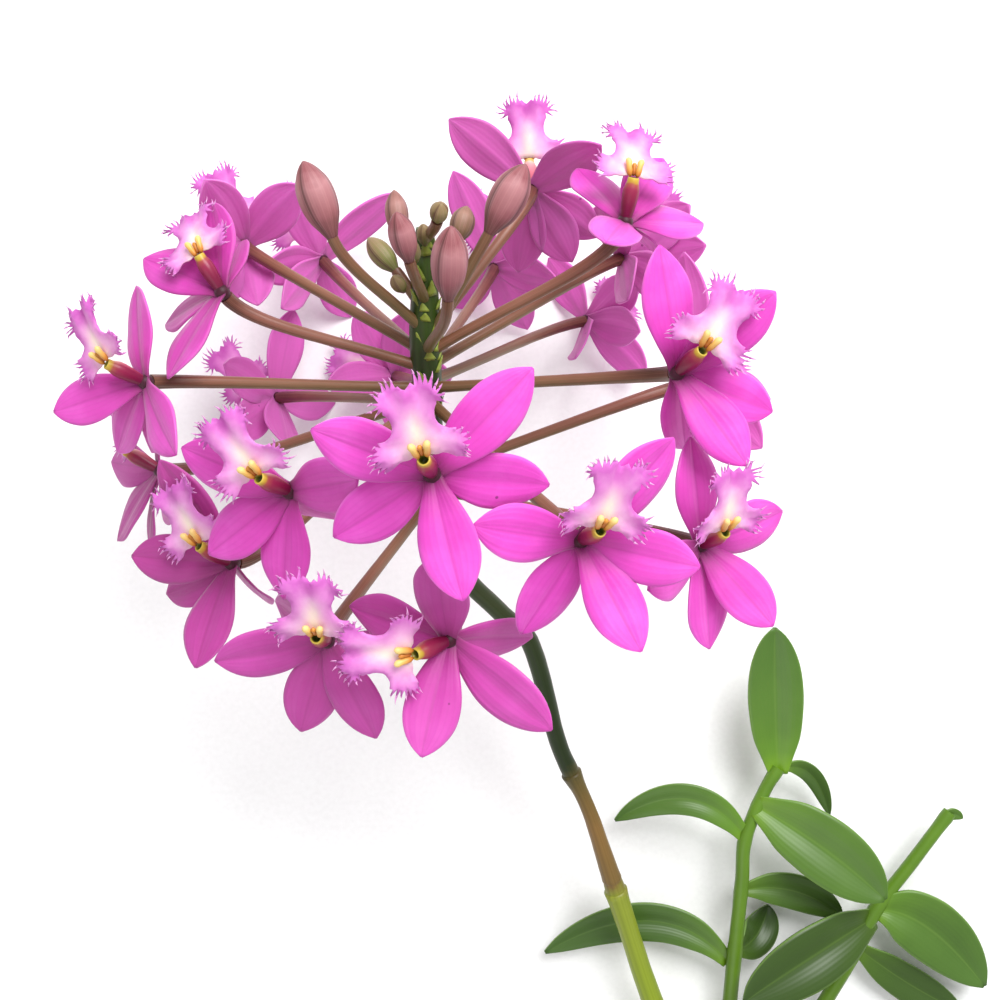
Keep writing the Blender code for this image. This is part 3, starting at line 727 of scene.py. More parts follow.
def torn_edge(draw):
    """The right half of a lip's edge, and the tip of each of its teeth with the way it points."""
    edge, tips = [], []
    for fringed, points in LIP_STRETCHES:
        if not fringed:
            edge += smooth_stretch(points, EDGE_STEP)
            continue
        steps = smooth_stretch(points, TOOTH_APART / 2)
        for number, (here, there) in enumerate(zip(steps, steps[1:] + [Vector((*points[-1], 0.0))])):
            way = (there - here).normalized()
            out = Vector((way.y, -way.x, 0.0))
            if number % 2:
                point = here + out * draw.uniform(*TOOTH_OUT)
                edge.append(point + way * draw.uniform(-TOOTH_SLANT, TOOTH_SLANT))
                tips.append((edge[-1], out))
            else:
                edge.append(here - out * TOOTH_IN * draw.uniform(*TOOTH_IN_SHARE))
    return edge, tips


def on_lip(lip_frame, x, y):
    """The place of an outline's point on the bent sheet of a lip, whose frame is (mouth, beside, forth,
    front, phase)."""
    mouth, beside, forth, front, phase = lip_frame
    return mouth + (beside * x + forth * y + front * lip_height(x, y, phase)) * MM


# Flat teeth that taper to a hair, one on each point, which leans the way of "aim" and lies flat to "flat".
teeth, given = blank_tree("fringe_teeth", (
    ("Points", "Geometry"), ("Length", "Float"), ("Width", "Float"), ("Thickness", "Float"),
    ("Curl", "Float"), ("Stray", "Float"), ("Seed", "Int"), ("Finish", "Material"),
))
cone = add(teeth, "GeometryNodeMeshCone", {
    "Vertices": 5, "Side Segments": 4, "Radius Top": 0.06, "Radius Bottom": 0.5, "Depth": 1.0,
})
size = add(teeth, "ShaderNodeCombineXYZ", {
    0: given["Width"], 1: given["Thickness"], 2: given["Length"],
})
tooth = add(teeth, "GeometryNodeTransform", {"Geometry": cone, "Scale": size})
spot = add(teeth, "GeometryNodeInputPosition")
parts = add(teeth, "ShaderNodeSeparateXYZ", {0: spot})
up_share = add(teeth, "ShaderNodeMath", {0: parts.outputs[2], 1: given["Length"]}, operation="DIVIDE")
bend = add(teeth, "ShaderNodeMath", {0: up_share, 1: up_share}, operation="MULTIPLY")
curl = add(teeth, "ShaderNodeMath", {0: bend, 1: given["Curl"]}, operation="MULTIPLY")
sideways = add(teeth, "ShaderNodeCombineXYZ", {0: curl, 1: curl})
curled = add(teeth, "GeometryNodeSetPosition", {"Geometry": tooth, "Offset": sideways})
aim = add(teeth, "GeometryNodeInputNamedAttribute", {"Name": "aim"}, data_type="FLOAT_VECTOR")
flat = add(teeth, "GeometryNodeInputNamedAttribute", {"Name": "flat"}, data_type="FLOAT_VECTOR")
stand = add(teeth, "FunctionNodeAxesToRotation", {0: aim, 1: flat}, primary_axis="Z", secondary_axis="Y")
stray = add(teeth, "FunctionNodeRandomValue", {8: given["Seed"]}, data_type="FLOAT_VECTOR")
stray.inputs[0].default_value = (-1.0, -1.0, 0.0)
stray.inputs[1].default_value = (1.0, 1.0, 0.0)
lean = add(teeth, "ShaderNodeVectorMath", {0: stray, "Scale": given["Stray"]}, operation="SCALE")
lean_turn = add(teeth, "FunctionNodeEulerToRotation", {0: lean})
leaning = add(teeth, "FunctionNodeRotateRotation", {0: stand, 1: lean_turn}, rotation_space="LOCAL")
lengths = add(teeth, "FunctionNodeRandomValue", {2: 0.45, 3: 1.15, 8: given["Seed"]})
reach = add(teeth, "GeometryNodeInputNamedAttribute", {"Name": "reach"})
length = add(teeth, "ShaderNodeMath", {0: lengths.outputs[1], 1: reach}, operation="MULTIPLY")
stretch = add(teeth, "ShaderNodeCombineXYZ", {0: 1.0, 1: 1.0, 2: length})
fringe = add(teeth, "GeometryNodeInstanceOnPoints", {
    "Points": given["Points"], "Instance": curled, "Rotation": leaning, "Scale": stretch,
})
ending(teeth, fringe, given["Finish"])

# Lip tissue: thinner and paler than the petals, cream at its claw and pale pink to lavender outwards, with
# a pink blotch near its end.
lip_skin, nodes = blank_skin("fringed_lip_skin", {
    "Roughness": 0.48, "IOR": 1.38, "Subsurface Weight": 0.3, "Subsurface Radius": (1.0, 0.5, 0.9),
    "Subsurface Scale": 0.0012,
})
cream, blush, blotch = [
    add(nodes, "ShaderNodeAttribute", attribute_name=label).outputs["Fac"]
    for label in ("cream", "blush", "blotch")
]
where = add(nodes, "ShaderNodeTexCoord").outputs["Object"]
cloud = add(nodes, "ShaderNodeTexNoise", {"Vector": where, "Scale": 420.0, "Detail": 3.0})
uneven = add(nodes, "ShaderNodeMath", {0: cloud, 1: 0.7, 2: blush}, operation="MULTIPLY_ADD")
pinkness = add(nodes, "ShaderNodeMath", {0: uneven, 1: 0.35}, operation="SUBTRACT")
ground = coloured(add(nodes, "ShaderNodeValToRGB", {0: pinkness}), (
    (0.0, "#f1cde4"), (0.3, "#e9b0de"), (0.62, "#dc8ecc"), (1.0, "#c868ba"),
))
dressed(nodes, tinted(nodes, ground, ((blotch, "#b84ca8"), (cream, "#f8e9cf"))), cloud, 0.3, 0.0002)

# Column tissue: glossy, wine red over its back and coral to pale pink on the side of the lip, with a dull
# gold rim round a greenish hollow.
column_skin, nodes = blank_skin("waxy_column_skin", {"Roughness": 0.36, "IOR": 1.42})
depth, lipward = [
    add(nodes, "ShaderNodeAttribute", attribute_name=label).outputs["Fac"] for label in ("depth", "lipward")
]
where = add(nodes, "ShaderNodeTexCoord").outputs["Object"]
cloud = add(nodes, "ShaderNodeTexNoise", {"Vector": where, "Scale": 500.0, "Detail": 3.0})
moved = add(nodes, "ShaderNodeMath", {0: cloud, 1: 0.12, 2: depth}, operation="MULTIPLY_ADD")
wine = coloured(add(nodes, "ShaderNodeValToRGB", {0: moved}), (
    (0.0, "#500a2c"), (0.4, "#741038"), (0.62, "#8e2346"), (0.74, "#a04a42"), (0.8, "#b8962f"),
    (0.88, "#cdb54c"), (0.95, "#6e6c1e"), (1.0, "#454c12"),
))
coral = coloured(add(nodes, "ShaderNodeValToRGB", {0: moved}), (
    (0.0, "#7a1840"), (0.35, "#b04a62"), (0.55, "#d87f8c"), (0.72, "#eec0b0"), (0.8, "#d8b060"),
    (0.88, "#cdb54c"), (0.95, "#6e6c1e"), (1.0, "#454c12"),
))
sides = add(nodes, "ShaderNodeMix", {0: lipward, 6: wine, 7: coral}, data_type="RGBA")
dressed(nodes, sides.outputs[2])

# The ridges at the mouth: waxy and butter yellow, burnt orange at their foot.
callus_skin, nodes = blank_skin("waxy_yellow_callus", {"Roughness": 0.38, "IOR": 1.42})
along = add(nodes, "ShaderNodeAttribute", attribute_name="along").outputs["Fac"]
butter = coloured(add(nodes, "ShaderNodeValToRGB", {0: along}), (
    (0.0, "#9c4818"), (0.3, "#cc8434"), (0.6, "#e6bc66"), (1.0, "#f0d898"),
))
dressed(nodes, butter.outputs[0])

rise = math.radians(COLUMN_RISE)
lean_angle = math.radians(LIP_LEAN)
bloom_lips = {}
for name, (place, facing, turn, _, _, _) in BLOOMS.items():
    hub = seen(*place)
    facing = Vector(facing).normalized()
    along_lip = square_to(Vector((math.cos(math.radians(turn)), math.sin(math.radians(turn)), 0.0)), facing)
    column = facing * math.cos(rise) + along_lip * math.sin(rise)
    mouth = hub + column * COLUMN_LENGTH
    forth = along_lip * math.cos(lean_angle) - facing * math.sin(lean_angle)
    beside = forth.cross(facing).normalized()
    front = beside.cross(forth)
    phase = draw.uniform(0.0, LAST_PHASE)
    lip_frame = (mouth, beside, forth, front, phase)

    right, right_tips = torn_edge(draw)
    left, left_tips = torn_edge(draw)
    outline = right + [Vector((0.0, LIP_STRETCHES[-1][1][-1][1], 0.0))]
    outline += [Vector((-p.x, p.y, 0.0)) for p in reversed(left)]
    inner = []
    for row in range(int(LIP_LENGTH / LIP_STEP) + 2):
        for step in range(-HALF_ROW, HALF_ROW + 1):
            spot = Vector(((step + 0.5 * (row % 2)) * LIP_STEP, row * LIP_STEP + FIRST_ROW, 0.0))
            if min((spot - p).length for p in outline) > EDGE_CLEAR:
                inner.append(spot)
    corners = [p.to_2d() for p in outline + inner]
    border = [list(range(len(outline)))]
    sheet_points, _, sheet_faces = delaunay_2d_cdt(corners, [], border, 1, 1e-5)[:3]
    colours = []
    for x, y in sheet_points:
        colours.append(lip_colours(x, y, min((Vector((x, y, 0.0)) - p).length for p in outline)))
    marks = {label: [colour[label] for colour in colours] for label in colours[0]}
    places = [on_lip(lip_frame, x, y) for x, y in sheet_points]
    sheet = settled(shown(name + "_sheet", (places, sheet_faces, marks), lip_skin), LIP_WALL)

    hair_roots = []
    left_tips = [(Vector((-tip.x, tip.y, 0.0)), Vector((-out.x, out.y, 0.0))) for tip, out in left_tips]
    for tip, out in right_tips + left_tips:
        root = tip - out * HAIR_ROOT
        end = tip + out * HAIR_AHEAD
        aim_way = (on_lip(lip_frame, end.x, end.y) - on_lip(lip_frame, root.x, root.y)).normalized()
        hair_roots.append([{
            "place": on_lip(lip_frame, root.x, root.y), "aim": aim_way, "flat": square_to(front, aim_way),
            "reach": 1.0 if draw.random() > LONG_HAIR_SHARE else LONG_HAIR,
        }])
    fringe_piece = grown(name + "_fringe", teeth, strands(name + "_roots", hair_roots), {
        "Length": HAIR_LENGTH, "Width": 0.42 * MM, "Thickness": 0.2 * MM, "Curl": 0.25 * MM, "Stray": 0.4,
        "Seed": int(phase * 100), "Finish": lip_skin,
    })
    layer = fringe_piece.data.attributes.new("blush", "FLOAT", "POINT")
    layer.data.foreach_set("value", [FRINGE_BLUSH] * len(fringe_piece.data.vertices))

    column_rings = [(reach * MM, radius * MM) for reach, radius, _ in COLUMN_RINGS]
    column_shape = turned(column_rings, hub, column, beside, {}, COLUMN_SIDES)
    column_marks = column_shape[2]
    column_marks["depth"] = [depth_share for _, _, depth_share in COLUMN_RINGS for _ in range(COLUMN_SIDES)]
    column_marks["lipward"] = [max(0.0, math.sin(2 * math.pi * around)) for around in column_marks["around"]]
    lip_parts = [sheet, fringe_piece, shown(name + "_column", column_shape, column_skin)]
    for aside, onward, radius, long, bright in CALLI:
        foot = on_lip(lip_frame, aside, onward) + front * CALLUS_LIFT * MM
        rings = [(share * long * MM, wide * radius * MM) for share, wide in CALLUS_RINGS]
        ridge_way = (forth * RIDGE_FORTH + front * RIDGE_RISE + beside * aside * RIDGE_SPLAY).normalized()
        ridge = turned(rings, foot, ridge_way, beside, {}, CALLUS_SIDES)
        ridge[2]["along"] = [bright + share * (0.35 + 2.4 * bright) for share in ridge[2]["along"]]
        lip_parts.append(shown(name + "_callus", ridge, callus_skin))
    bloom_lips[name] = joined("lip_of_" + name, lip_parts)

# Blooms that rest are let down, or lifted, until they just touch the table.
bloom_drop = {}
for name, (_, _, _, _, rests, _) in BLOOMS.items():
    pieces = (bloom_petals[name], bloom_lips[name])
    lowest = min(vertex.co.z for piece in pieces for vertex in piece.data.vertices)
    bloom_drop[name] = UP * lowest if rests else Vector()
    for piece in pieces:
        for vertex in piece.data.vertices:
            vertex.co -= bloom_drop[name]
    placed(pieces[0], name + "_petals")
    placed(pieces[1], name + "_lip")


# The buds
# Closed blooms at the top of the rachis, the youngest in its middle. Each is three sepals that still meet
# edge to edge in a furrow, dusky pink over brown. They sit on the ends of their stalks.

# Each bud: its foot and tip (across, down, height), its width and where its stalk leaves the rachis.
BUDS = {
    "bud_1": ((333, 239, 76), (303, 161, 80), 6.1, 0.43),
    "bud_2": ((488, 235, 72), (526, 164, 75), 6.1, 0.36),
    "bud_3": ((448, 301, 86), (451, 226, 94), 5.6, 0.32),
    "bud_4": ((410, 263, 76), (396, 212, 82), 4.4, 0.62),
    "bud_5": ((400, 240, 62), (394, 190, 62), 4.0, 0.7),
    "bud_6": ((397, 272, 63), (368, 238, 62), 4.0, 0.55),
    "bud_7": ((457, 243, 66), (467, 206, 66), 4.2, 0.75),
    "bud_8": ((437, 222, 76), (441, 203, 80), 3.0, 1.0),
}
GREEN_BUDS = {"bud_6": 0.85, "bud_8": 0.9, "bud_7": 0.45, "bud_5": 0.25}
BUD_STATIONS = (
    (0.0, 0.27), (0.12, 0.5), (0.3, 0.86), (0.52, 1.0), (0.72, 0.9), (0.88, 0.56), (0.96, 0.28), (1.0, 0.06),
)
BUD_RINGS = 24
BUD_SIDES = 36
BUD_FURROWS = 3
FURROW_DEPTH = 0.1

# Bud skin: matt and dusty pink with a bloom on it, browner at the foot and along the furrows.
bud_skin, nodes = blank_skin("dusty_bud_skin", {"Roughness": 0.46, "IOR": 1.4})
along, groove, green, around = [
    add(nodes, "ShaderNodeAttribute", attribute_name=label).outputs["Fac"]
    for label in ("along", "groove", "green", "around")
]
where = add(nodes, "ShaderNodeTexCoord").outputs["Object"]
cloud = add(nodes, "ShaderNodeTexNoise", {"Vector": where, "Scale": 300.0, "Detail": 3.0})
shifted = add(nodes, "ShaderNodeMath", {0: cloud, 1: 0.3, 2: along}, operation="MULTIPLY_ADD")
pink = coloured(add(nodes, "ShaderNodeValToRGB", {0: shifted}), (
    (0.0, "#4a3224"), (0.25, "#6c4240"), (0.5, "#925a5e"), (0.85, "#ac767a"), (1.0, "#8a4e54"),
))
leafy = coloured(add(nodes, "ShaderNodeValToRGB", {0: shifted}), (
    (0.0, "#405016"), (0.45, "#687832"), (1.0, "#86794c"),
))
kind = add(nodes, "ShaderNodeMix", {0: green, 6: pink, 7: leafy}, data_type="RGBA")
furrow = add(nodes, "ShaderNodeMath", {0: groove, 1: 0.75}, operation="MULTIPLY")
streak = add(nodes, "ShaderNodeTexNoise", {"W": around, "Scale": 60.0}, noise_dimensions="1D")
streak_amount = add(nodes, "ShaderNodeMapRange", {0: streak, 1: 0.45, 2: 0.75, 3: 0.0, 4: 0.3})
bud_colour = tinted(nodes, kind.outputs[2], ((furrow, "#452420"), (streak_amount, "#c48c8c")))
dressed(nodes, bud_colour, streak, 0.2, 0.0002)


def bud_shape(foot, tip, width, green_share, sides):
    """A closed bud from foot to tip, with a furrow where each two of its sepals meet."""
    line = (tip - foot).normalized()
    reach = (tip - foot).length
    rings = []
    for i in range(BUD_RINGS + 1):
        rings.append((reach * i / BUD_RINGS, width * MM / 2 * between(BUD_STATIONS, i / BUD_RINGS)))
    side_way = square_to(Vector((0.3, 0.2, 1.0)), line)
    return turned(rings, foot, line, side_way, {"green": green_share}, sides, BUD_FURROWS, FURROW_DEPTH)


for name, (foot, tip, width, _) in BUDS.items():
    shape = bud_shape(seen(*foot), seen(*tip), width, GREEN_BUDS.get(name, 0.0), BUD_SIDES)
    placed(shown("skin_of_" + name, shape, bud_skin), name)


# The stalks of the blooms and buds
# Each bloom stands on its ovary, which runs down into a stalk to the rachis. It is as thick as a match,
# dusky red where the sun reaches it and olive below, and furrowed towards the bloom.
RACHIS_FOOT = (428, 400, 56)
RACHIS_TOP = (425, 240, 67)
STALK_RADIUS = 0.92 * MM
OVARY_RADIUS = 1.2 * MM
STALK_RISE = 0.4
STALK_TURN = 0.22
STALK_STEPS = 30
# A stalk swells at its foot by this much, over about this share of its length, and is ribbed past RIBS_FROM.
FOOT_SWELL = 0.35 * MM
FOOT_SHARE = 0.05
RIBS_FROM = 0.45
# It ends this many hub radii behind a bloom's hub, or this many millimetres inside a bud.
HUB_SEAT = 0.9
BUD_SEAT = 0.3
# How olive the stalks are beyond the shade on their undersides, from the least to the most.
BLOOM_STALK_TONES = (-0.3, 0.35)
BUD_STALK_TONES = (0.2, 0.6)
RACHIS_SKIN = 1.9 * MM
BRACTS = 34
BRACT_TURN = 2.4
BRACT_SUNK = 0.9 * MM
BRACT_REACH = 1.04
BRACT_BELOW = 0.02
# Each tiny bud: its foot and tip (across, down, height) and its width.
TINY_BUDS = (
    ((416, 262, 70), (409, 240, 74), 2.8), ((438, 270, 71), (447, 247, 75), 3.0),
    ((425, 246, 69), (423, 224, 72), 2.4), ((404, 292, 66), (393, 276, 69), 2.6),
)
TINY_SIDES = 20
TINY_GREEN = 0.9

# Stalk skin: dusky red towards the light, olive below and on some stalks, with paler streaks along it.
stalk_skin, nodes = blank_skin("reddened_stalk_skin", {"Roughness": 0.4, "IOR": 1.42})
along, tone, around = [
    add(nodes, "ShaderNodeAttribute", attribute_name=label).outputs["Fac"]
    for label in ("along", "tone", "around")
]
where = add(nodes, "ShaderNodeTexCoord")
cloud = add(nodes, "ShaderNodeTexNoise", {"Vector": where.outputs["Object"], "Scale": 220.0, "Detail": 3.0})
shifted = add(nodes, "ShaderNodeMath", {0: cloud, 1: 0.25, 2: along}, operation="MULTIPLY_ADD")
red = coloured(add(nodes, "ShaderNodeValToRGB", {0: shifted}), (
    (0.0, "#4c3c1c"), (0.2, "#66402c"), (0.55, "#845646"), (0.85, "#7e4a3e"), (1.0, "#582e28"),
))
olive = coloured(add(nodes, "ShaderNodeValToRGB", {0: shifted}), (
    (0.0, "#404a1a"), (0.5, "#6c623a"), (1.0, "#64482f"),
))
compass = add(nodes, "ShaderNodeSeparateXYZ", {0: where.outputs["Normal"]})
shaded = add(nodes, "ShaderNodeMapRange", {0: compass.outputs[1], 1: -0.9, 2: 0.5, 3: 0.75, 4: 0.0})
toned = add(nodes, "ShaderNodeMath", {0: shaded, 1: tone}, operation="ADD", use_clamp=True)
two = add(nodes, "ShaderNodeMix", {0: toned, 6: red, 7: olive}, data_type="RGBA")
streak = add(nodes, "ShaderNodeTexNoise", {"W": around, "Scale": 26.0}, noise_dimensions="1D")
streak_amount = add(nodes, "ShaderNodeMapRange", {0: streak, 1: 0.4, 2: 0.75, 3: 0.0, 4: 0.4})
dressed(nodes, tinted(nodes, two.outputs[2], ((streak_amount, "#a8765e"),)), cloud, 0.2, 0.0002)


def rachis_point(share):
    """The place at a share of the way up the rachis."""
    return seen(*RACHIS_FOOT).lerp(seen(*RACHIS_TOP), share)


def stalk_path(start, end, arriving, end_radius, tone_value, furrowed):
    """The path of a stalk from the rachis to what it carries, which it meets head on."""
    reach = (end - start).length
    control = [start, start.lerp(end, STALK_RISE), end - arriving * (STALK_TURN * reach), end]
    path = []
    for i in range(STALK_STEPS + 1):
        share = i / STALK_STEPS
        radius = STALK_RADIUS + (end_radius - STALK_RADIUS) * share ** 2
        path.append({
            "place": bezier(control, share), "thick": radius + FOOT_SWELL * math.exp(-share / FOOT_SHARE),
            "along": share, "tone": tone_value,
            "ribbed": furrowed * max(0.0, share - RIBS_FROM) / (1 - RIBS_FROM),
        })
    return path


stalk_paths = []
bract_roots = []
for name, (place, facing, _, leaves_at, _, _) in BLOOMS.items():
    facing = Vector(facing).normalized()
    seat = seen(*place) - bloom_drop[name] - facing * (HUB_RADIUS * HUB_SEAT)
    start = rachis_point(leaves_at)
    tone_value = draw.uniform(*BLOOM_STALK_TONES)
    stalk_paths.append(stalk_path(start, seat, facing, OVARY_RADIUS, tone_value, 1.0))
    bract_roots.append((start, (seat - start).normalized()))
for foot, tip, _, leaves_at in BUDS.values():
    foot, tip = seen(*foot), seen(*tip)
    line = (tip - foot).normalized()
    seat = foot + line * BUD_SEAT * MM
    start = rachis_point(leaves_at)
    tone_value = draw.uniform(*BUD_STALK_TONES)
    stalk_paths.append(stalk_path(start, seat, line, STALK_RADIUS, tone_value, 0.3))
    bract_roots.append((start, (foot - start).normalized()))
stalks = grown("bloom_and_bud_stalks", sweep, strands("stalk_lines", stalk_paths), {
    "Sides": 20, "Ribs": 6.0, "Rib depth": 0.09, "Unevenness": 0.1, "Lumps per metre": 220.0,
    "Finish": stalk_skin,
})
placed(stalks, "flower_stem")

# A short green bract hugs the foot of each stalk, and others like it cover the rachis between them, from
# just under its foot to just past its top.
bract_skin = stem_skin.copy()
bract_skin.name = "bract_skin"
for node in bract_skin.node_tree.nodes:
    if node.bl_idname == "ShaderNodeValToRGB":
        node.color_ramp.elements[-1].color = linear("#8a9a3e")
axis = (rachis_point(1.0) - rachis_point(0.0)).normalized()
for i in range(BRACTS):
    turn = i * BRACT_TURN
    out = square_to(Vector((math.cos(turn), 0.0, math.sin(turn))), axis)
    bract_roots.append((rachis_point(BRACT_REACH * i / BRACTS - BRACT_BELOW), out))
bract_points = []
for root, way in bract_roots:
    out = square_to(way, axis)
    aim_way = (out * 0.3 + axis).normalized()
    bract_points.append([{
        "place": root + out * RACHIS_SKIN - axis * BRACT_SUNK, "aim": aim_way,
        "flat": square_to(out, aim_way), "reach": 1.0,
    }])
bracts = grown("rachis_bracts", teeth, strands("bract_roots", bract_points), {
    "Length": 2.7 * MM, "Width": 2.5 * MM, "Thickness": 0.9 * MM, "Curl": 0.1 * MM, "Stray": 0.2, "Seed": 5,
    "Finish": bract_skin,
})
layer = bracts.data.attributes.new("along", "FLOAT", "POINT")
layer.data.foreach_set("value", [1.0] * len(bracts.data.vertices))
placed(bracts, "flower_stem")

# The youngest buds of all, tiny and green, sit at the very top of the rachis.
for number, (foot, tip, width) in enumerate(TINY_BUDS):
    shape = bud_shape(seen(*foot), seen(*tip), width, TINY_GREEN, TINY_SIDES)
    placed(shown("tiny_bud_%d" % (number + 1), shape, bud_skin), "flower_stem")


# The leafy shoots
# Two young canes with leaves in two ranks. The leaves are thick and leathery, folded along the middle,
# and clasp the cane with a sheath at their foot. Their skin is waxed, so they shine softly.

# Each shoot: how far up the first stretch of the stem it leaves it, the path of its cane, and its leaves,
# each as foot, middle, tip and width.
SHOOTS = {
    "leafy_shoot_1": (
        0.24,
        ((730, 1000, 8), (742, 880, 11), (745, 840, 12), (765, 790, 12), (778, 768, 12)),
        (
            ((778, 774, 12), (776, 700, 15), (775, 628, 17), 11.6),
            ((784, 768, 12), (812, 776, 9), (829, 815, 5), 4.0),
            ((748, 842, 12), (690, 800, 13), (615, 820, 9), 6.6),
            ((756, 806, 13), (825, 850, 17), (885, 900, 17), 13.6),
            ((728, 962, 8), (650, 922, 7), (545, 952, 5), 8.2),
            ((738, 950, 9), (758, 935, 5), (768, 905, 3), 8.0),
            ((745, 890, 10), (795, 892, 9), (842, 916, 6.5), 7.6),
        ),
    ),
    "leafy_shoot_2": (
        0.05,
        ((800, 1040, 6), (850, 960, 7), (874, 912, 7.5), (912, 862, 8), (950, 812, 9)),
        (
            ((874, 918, 7.5), (815, 958, 14.5), (744, 1002, 14.5), 12.8),
            ((878, 910, 8), (930, 930, 9), (984, 986, 6), 13.4),
            ((858, 948, 6.5), (910, 985, 4), (962, 1012, 2.5), 8.0),
            ((946, 818, 9), (953, 814, 9.5), (962, 818, 9), 2.4),
        ),
    ),
}
CUT_RADIUS = 2.6 * MM
SEAT_GAP = 0.3 * MM
SHOOT_RADIUS = 1.7 * MM
SHOOT_FOOT = 2.5 * MM
SHOOT_TAPER = 0.8
CANE_STEPS = 60
# The cane swells where a leaf clasps it, by this share of its radius and over about this length.
CLASP_SWELL = 0.12
CLASP_LENGTH = 1.6 * MM
LEAF_WALL = 0.7 * MM
LEAF_STATIONS = (
    (0.0, 0.34), (0.1, 0.55), (0.24, 0.84), (0.42, 0.98), (0.56, 1.0), (0.72, 0.9), (0.85, 0.68), (0.94, 0.4),
    (1.0, 0.08),
)
LEAF_STEPS = 36
MOST_FRESH = 0.35
# How dark each leaf is, in the order of the lists above.
LEAF_SHADES = {
    "leafy_shoot_1": (0.0, 0.45, 0.1, 0.2, 0.35, 0.75, 0.5),
    "leafy_shoot_2": (0.75, 0.15, 0.6, 0.2),
}

# Leaf skin: a waxy green, lighter at the foot and along the midrib, with faint lengthwise veins.
leaf_skin, nodes = blank_skin("waxy_leaf_skin", {"Roughness": 0.38, "IOR": 1.43})
along, across, fresh, shade = [
    add(nodes, "ShaderNodeAttribute", attribute_name=label).outputs["Fac"]
    for label in ("along", "across", "tone", "shade")
]
where = add(nodes, "ShaderNodeTexCoord").outputs["Object"]
cloud = add(nodes, "ShaderNodeTexNoise", {"Vector": where, "Scale": 90.0, "Detail": 4.0})
length_green = coloured(add(nodes, "ShaderNodeValToRGB", {0: along}), (
    (0.0, "#76a012"), (0.14, "#5a8220"), (0.4, "#4a6c26"), (1.0, "#45662a"),
))
cloudy = add(nodes, "ShaderNodeMapRange", {0: cloud, 1: 0.35, 2: 0.75, 3: 0.0, 4: 0.5})
near_edge = add(nodes, "ShaderNodeMath", {0: across}, operation="ABSOLUTE")
rib = add(nodes, "ShaderNodeMapRange", {0: near_edge, 1: 0.0, 2: 0.07, 3: 0.16, 4: 0.0})
rim = add(nodes, "ShaderNodeMapRange", {0: near_edge, 1: 0.93, 2: 1.0, 3: 0.0, 4: 0.4})
leaf_colour = tinted(nodes, length_green, (
    (cloudy, "#31501c"), (fresh, "#66902c"), (shade, "#2b3f12"), (rib, "#7c9c48"), (rim, "#8db45c"),
))
vein_angle = add(nodes, "ShaderNodeMath", {0: across, 1: 44.0, 2: cloud}, operation="MULTIPLY_ADD")
vein = add(nodes, "ShaderNodeMath", {0: vein_angle}, operation="SINE")
dressed(nodes, leaf_colour, vein, 0.05, 0.0002)

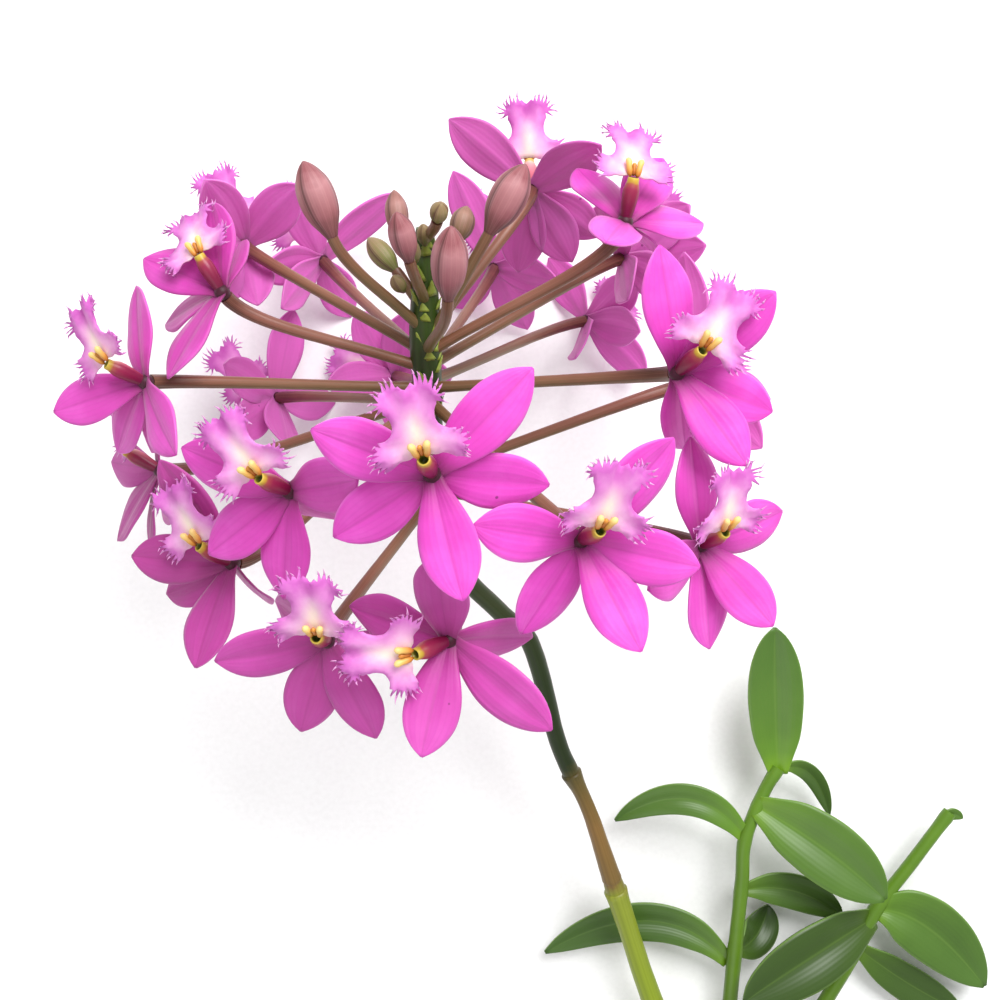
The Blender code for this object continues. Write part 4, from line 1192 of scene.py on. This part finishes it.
for name, (leaves_at, path, leaves) in SHOOTS.items():
    low, high = seen(*STEM_PATH[0][0]), seen(*STEM_PATH[1][0])
    out = square_to(Vector((1.0, 0.0, 0.0)), (high - low).normalized())
    start = low.lerp(high, leaves_at) + out * (CUT_RADIUS + SEAT_GAP)
    centres = [start, start + out * SHOOT_FOOT] + [seen(*place) for place in path]
    feet = [seen(*foot) for foot, _, _, _ in leaves]
    cane = []
    for i in range(CANE_STEPS + 1):
        share = i / CANE_STEPS
        place = along_points(centres, share)
        clasped = min(sum(math.exp(-((place - foot).length / CLASP_LENGTH) ** 2) for foot in feet), 1.0)
        radius = SHOOT_RADIUS * (1 - (1 - SHOOT_TAPER) * share) * (1 + CLASP_SWELL * clasped)
        cane.append({
            "place": place, "thick": radius, "along": 0.12 * share, "tone": 0.1, "across": 0.4,
            "shade": 0.7 - 0.6 * share,
        })
    cane_piece = grown(name + "_cane", sweep, strands(name + "_line", [cane]), {
        "Sides": 20, "Unevenness": 0.1, "Lumps per metre": 150.0, "Finish": leaf_skin,
    })
    leaf_lines = []
    for (foot, middle, tip, width), shade_share in zip(leaves, LEAF_SHADES[name]):
        foot, middle, tip = seen(*foot), seen(*middle), seen(*tip)
        line = [foot, middle * 2 - foot.lerp(tip, 0.5), tip]
        values = {"tone": draw.uniform(0.0, MOST_FRESH), "shade": shade_share}
        leaf_lines.append(spine(line, LEAF_STATIONS, width * MM, UP, LEAF_STEPS, 0.0, values))
    leaf_piece = grown(name + "_leaves", blades, strands(name + "_spines", leaf_lines), {
        "Points across": 17, "Channel depth": 0.22, "Channel width": 0.45, "Fall": 0.02, "Wave": 0.03,
        "Waves": 0.8, "Finish": leaf_skin,
    }, wall=LEAF_WALL)
    placed(joined("cane_and_leaves_" + name[-1], [leaf_piece, cane_piece]), name)


# The table and the light
# A sheet of white paper on the table, lit by a soft box over its top edge, a broad fill over its bottom
# edge and a bright pale room.
FLOOR_HALF = 3.0
floor_mesh = bpy.data.meshes.new("paper_sheet")
floor_mesh.from_pydata([
    (-FLOOR_HALF, -FLOOR_HALF, 0.0), (FLOOR_HALF, -FLOOR_HALF, 0.0),
    (FLOOR_HALF, FLOOR_HALF, 0.0), (-FLOOR_HALF, FLOOR_HALF, 0.0),
], [], [(0, 1, 2, 3)])
paper, nodes = blank_skin("white_paper", {"Roughness": 0.85})
where = add(nodes, "ShaderNodeTexCoord").outputs["Object"]
fibre = add(nodes, "ShaderNodeTexNoise", {"Vector": where, "Scale": 900.0, "Detail": 2.0})
tint = coloured(add(nodes, "ShaderNodeValToRGB", {0: fibre}), ((0.3, "#f6f6f6"), (0.7, "#fbfbfb")))
dressed(nodes, tint.outputs[0])
floor_mesh.materials.append(paper)
floor = bpy.data.objects.new("paper_sheet", floor_mesh)
bpy.context.scene.collection.objects.link(floor)

world = bpy.data.worlds.new("pale_room")
world.use_nodes = True
world.node_tree.nodes["Background"].inputs["Color"].default_value = linear("#ffffff")
world.node_tree.nodes["Background"].inputs["Strength"].default_value = 0.6
bpy.context.scene.world = world
# Each lamp: its place and width in metres and its power in watts. All aim at the branch's middle.
LAMP_AIM = Vector((0.0, 0.0, 0.06))
SOFT_BOXES = (
    ("soft_box", (0.2, 0.42, 0.6), 0.42, 6.6),
    ("front_fill", (-0.3, -0.5, 0.7), 0.6, 1.5),
)
for name, place, width, power in SOFT_BOXES:
    lamp = bpy.data.lights.new(name, "AREA")
    lamp.size = width
    lamp.energy = power
    box = bpy.data.objects.new(name, lamp)
    box.location = place
    box.rotation_euler = (LAMP_AIM - Vector(place)).to_track_quat("-Z", "Y").to_euler()
    bpy.context.scene.collection.objects.link(box)
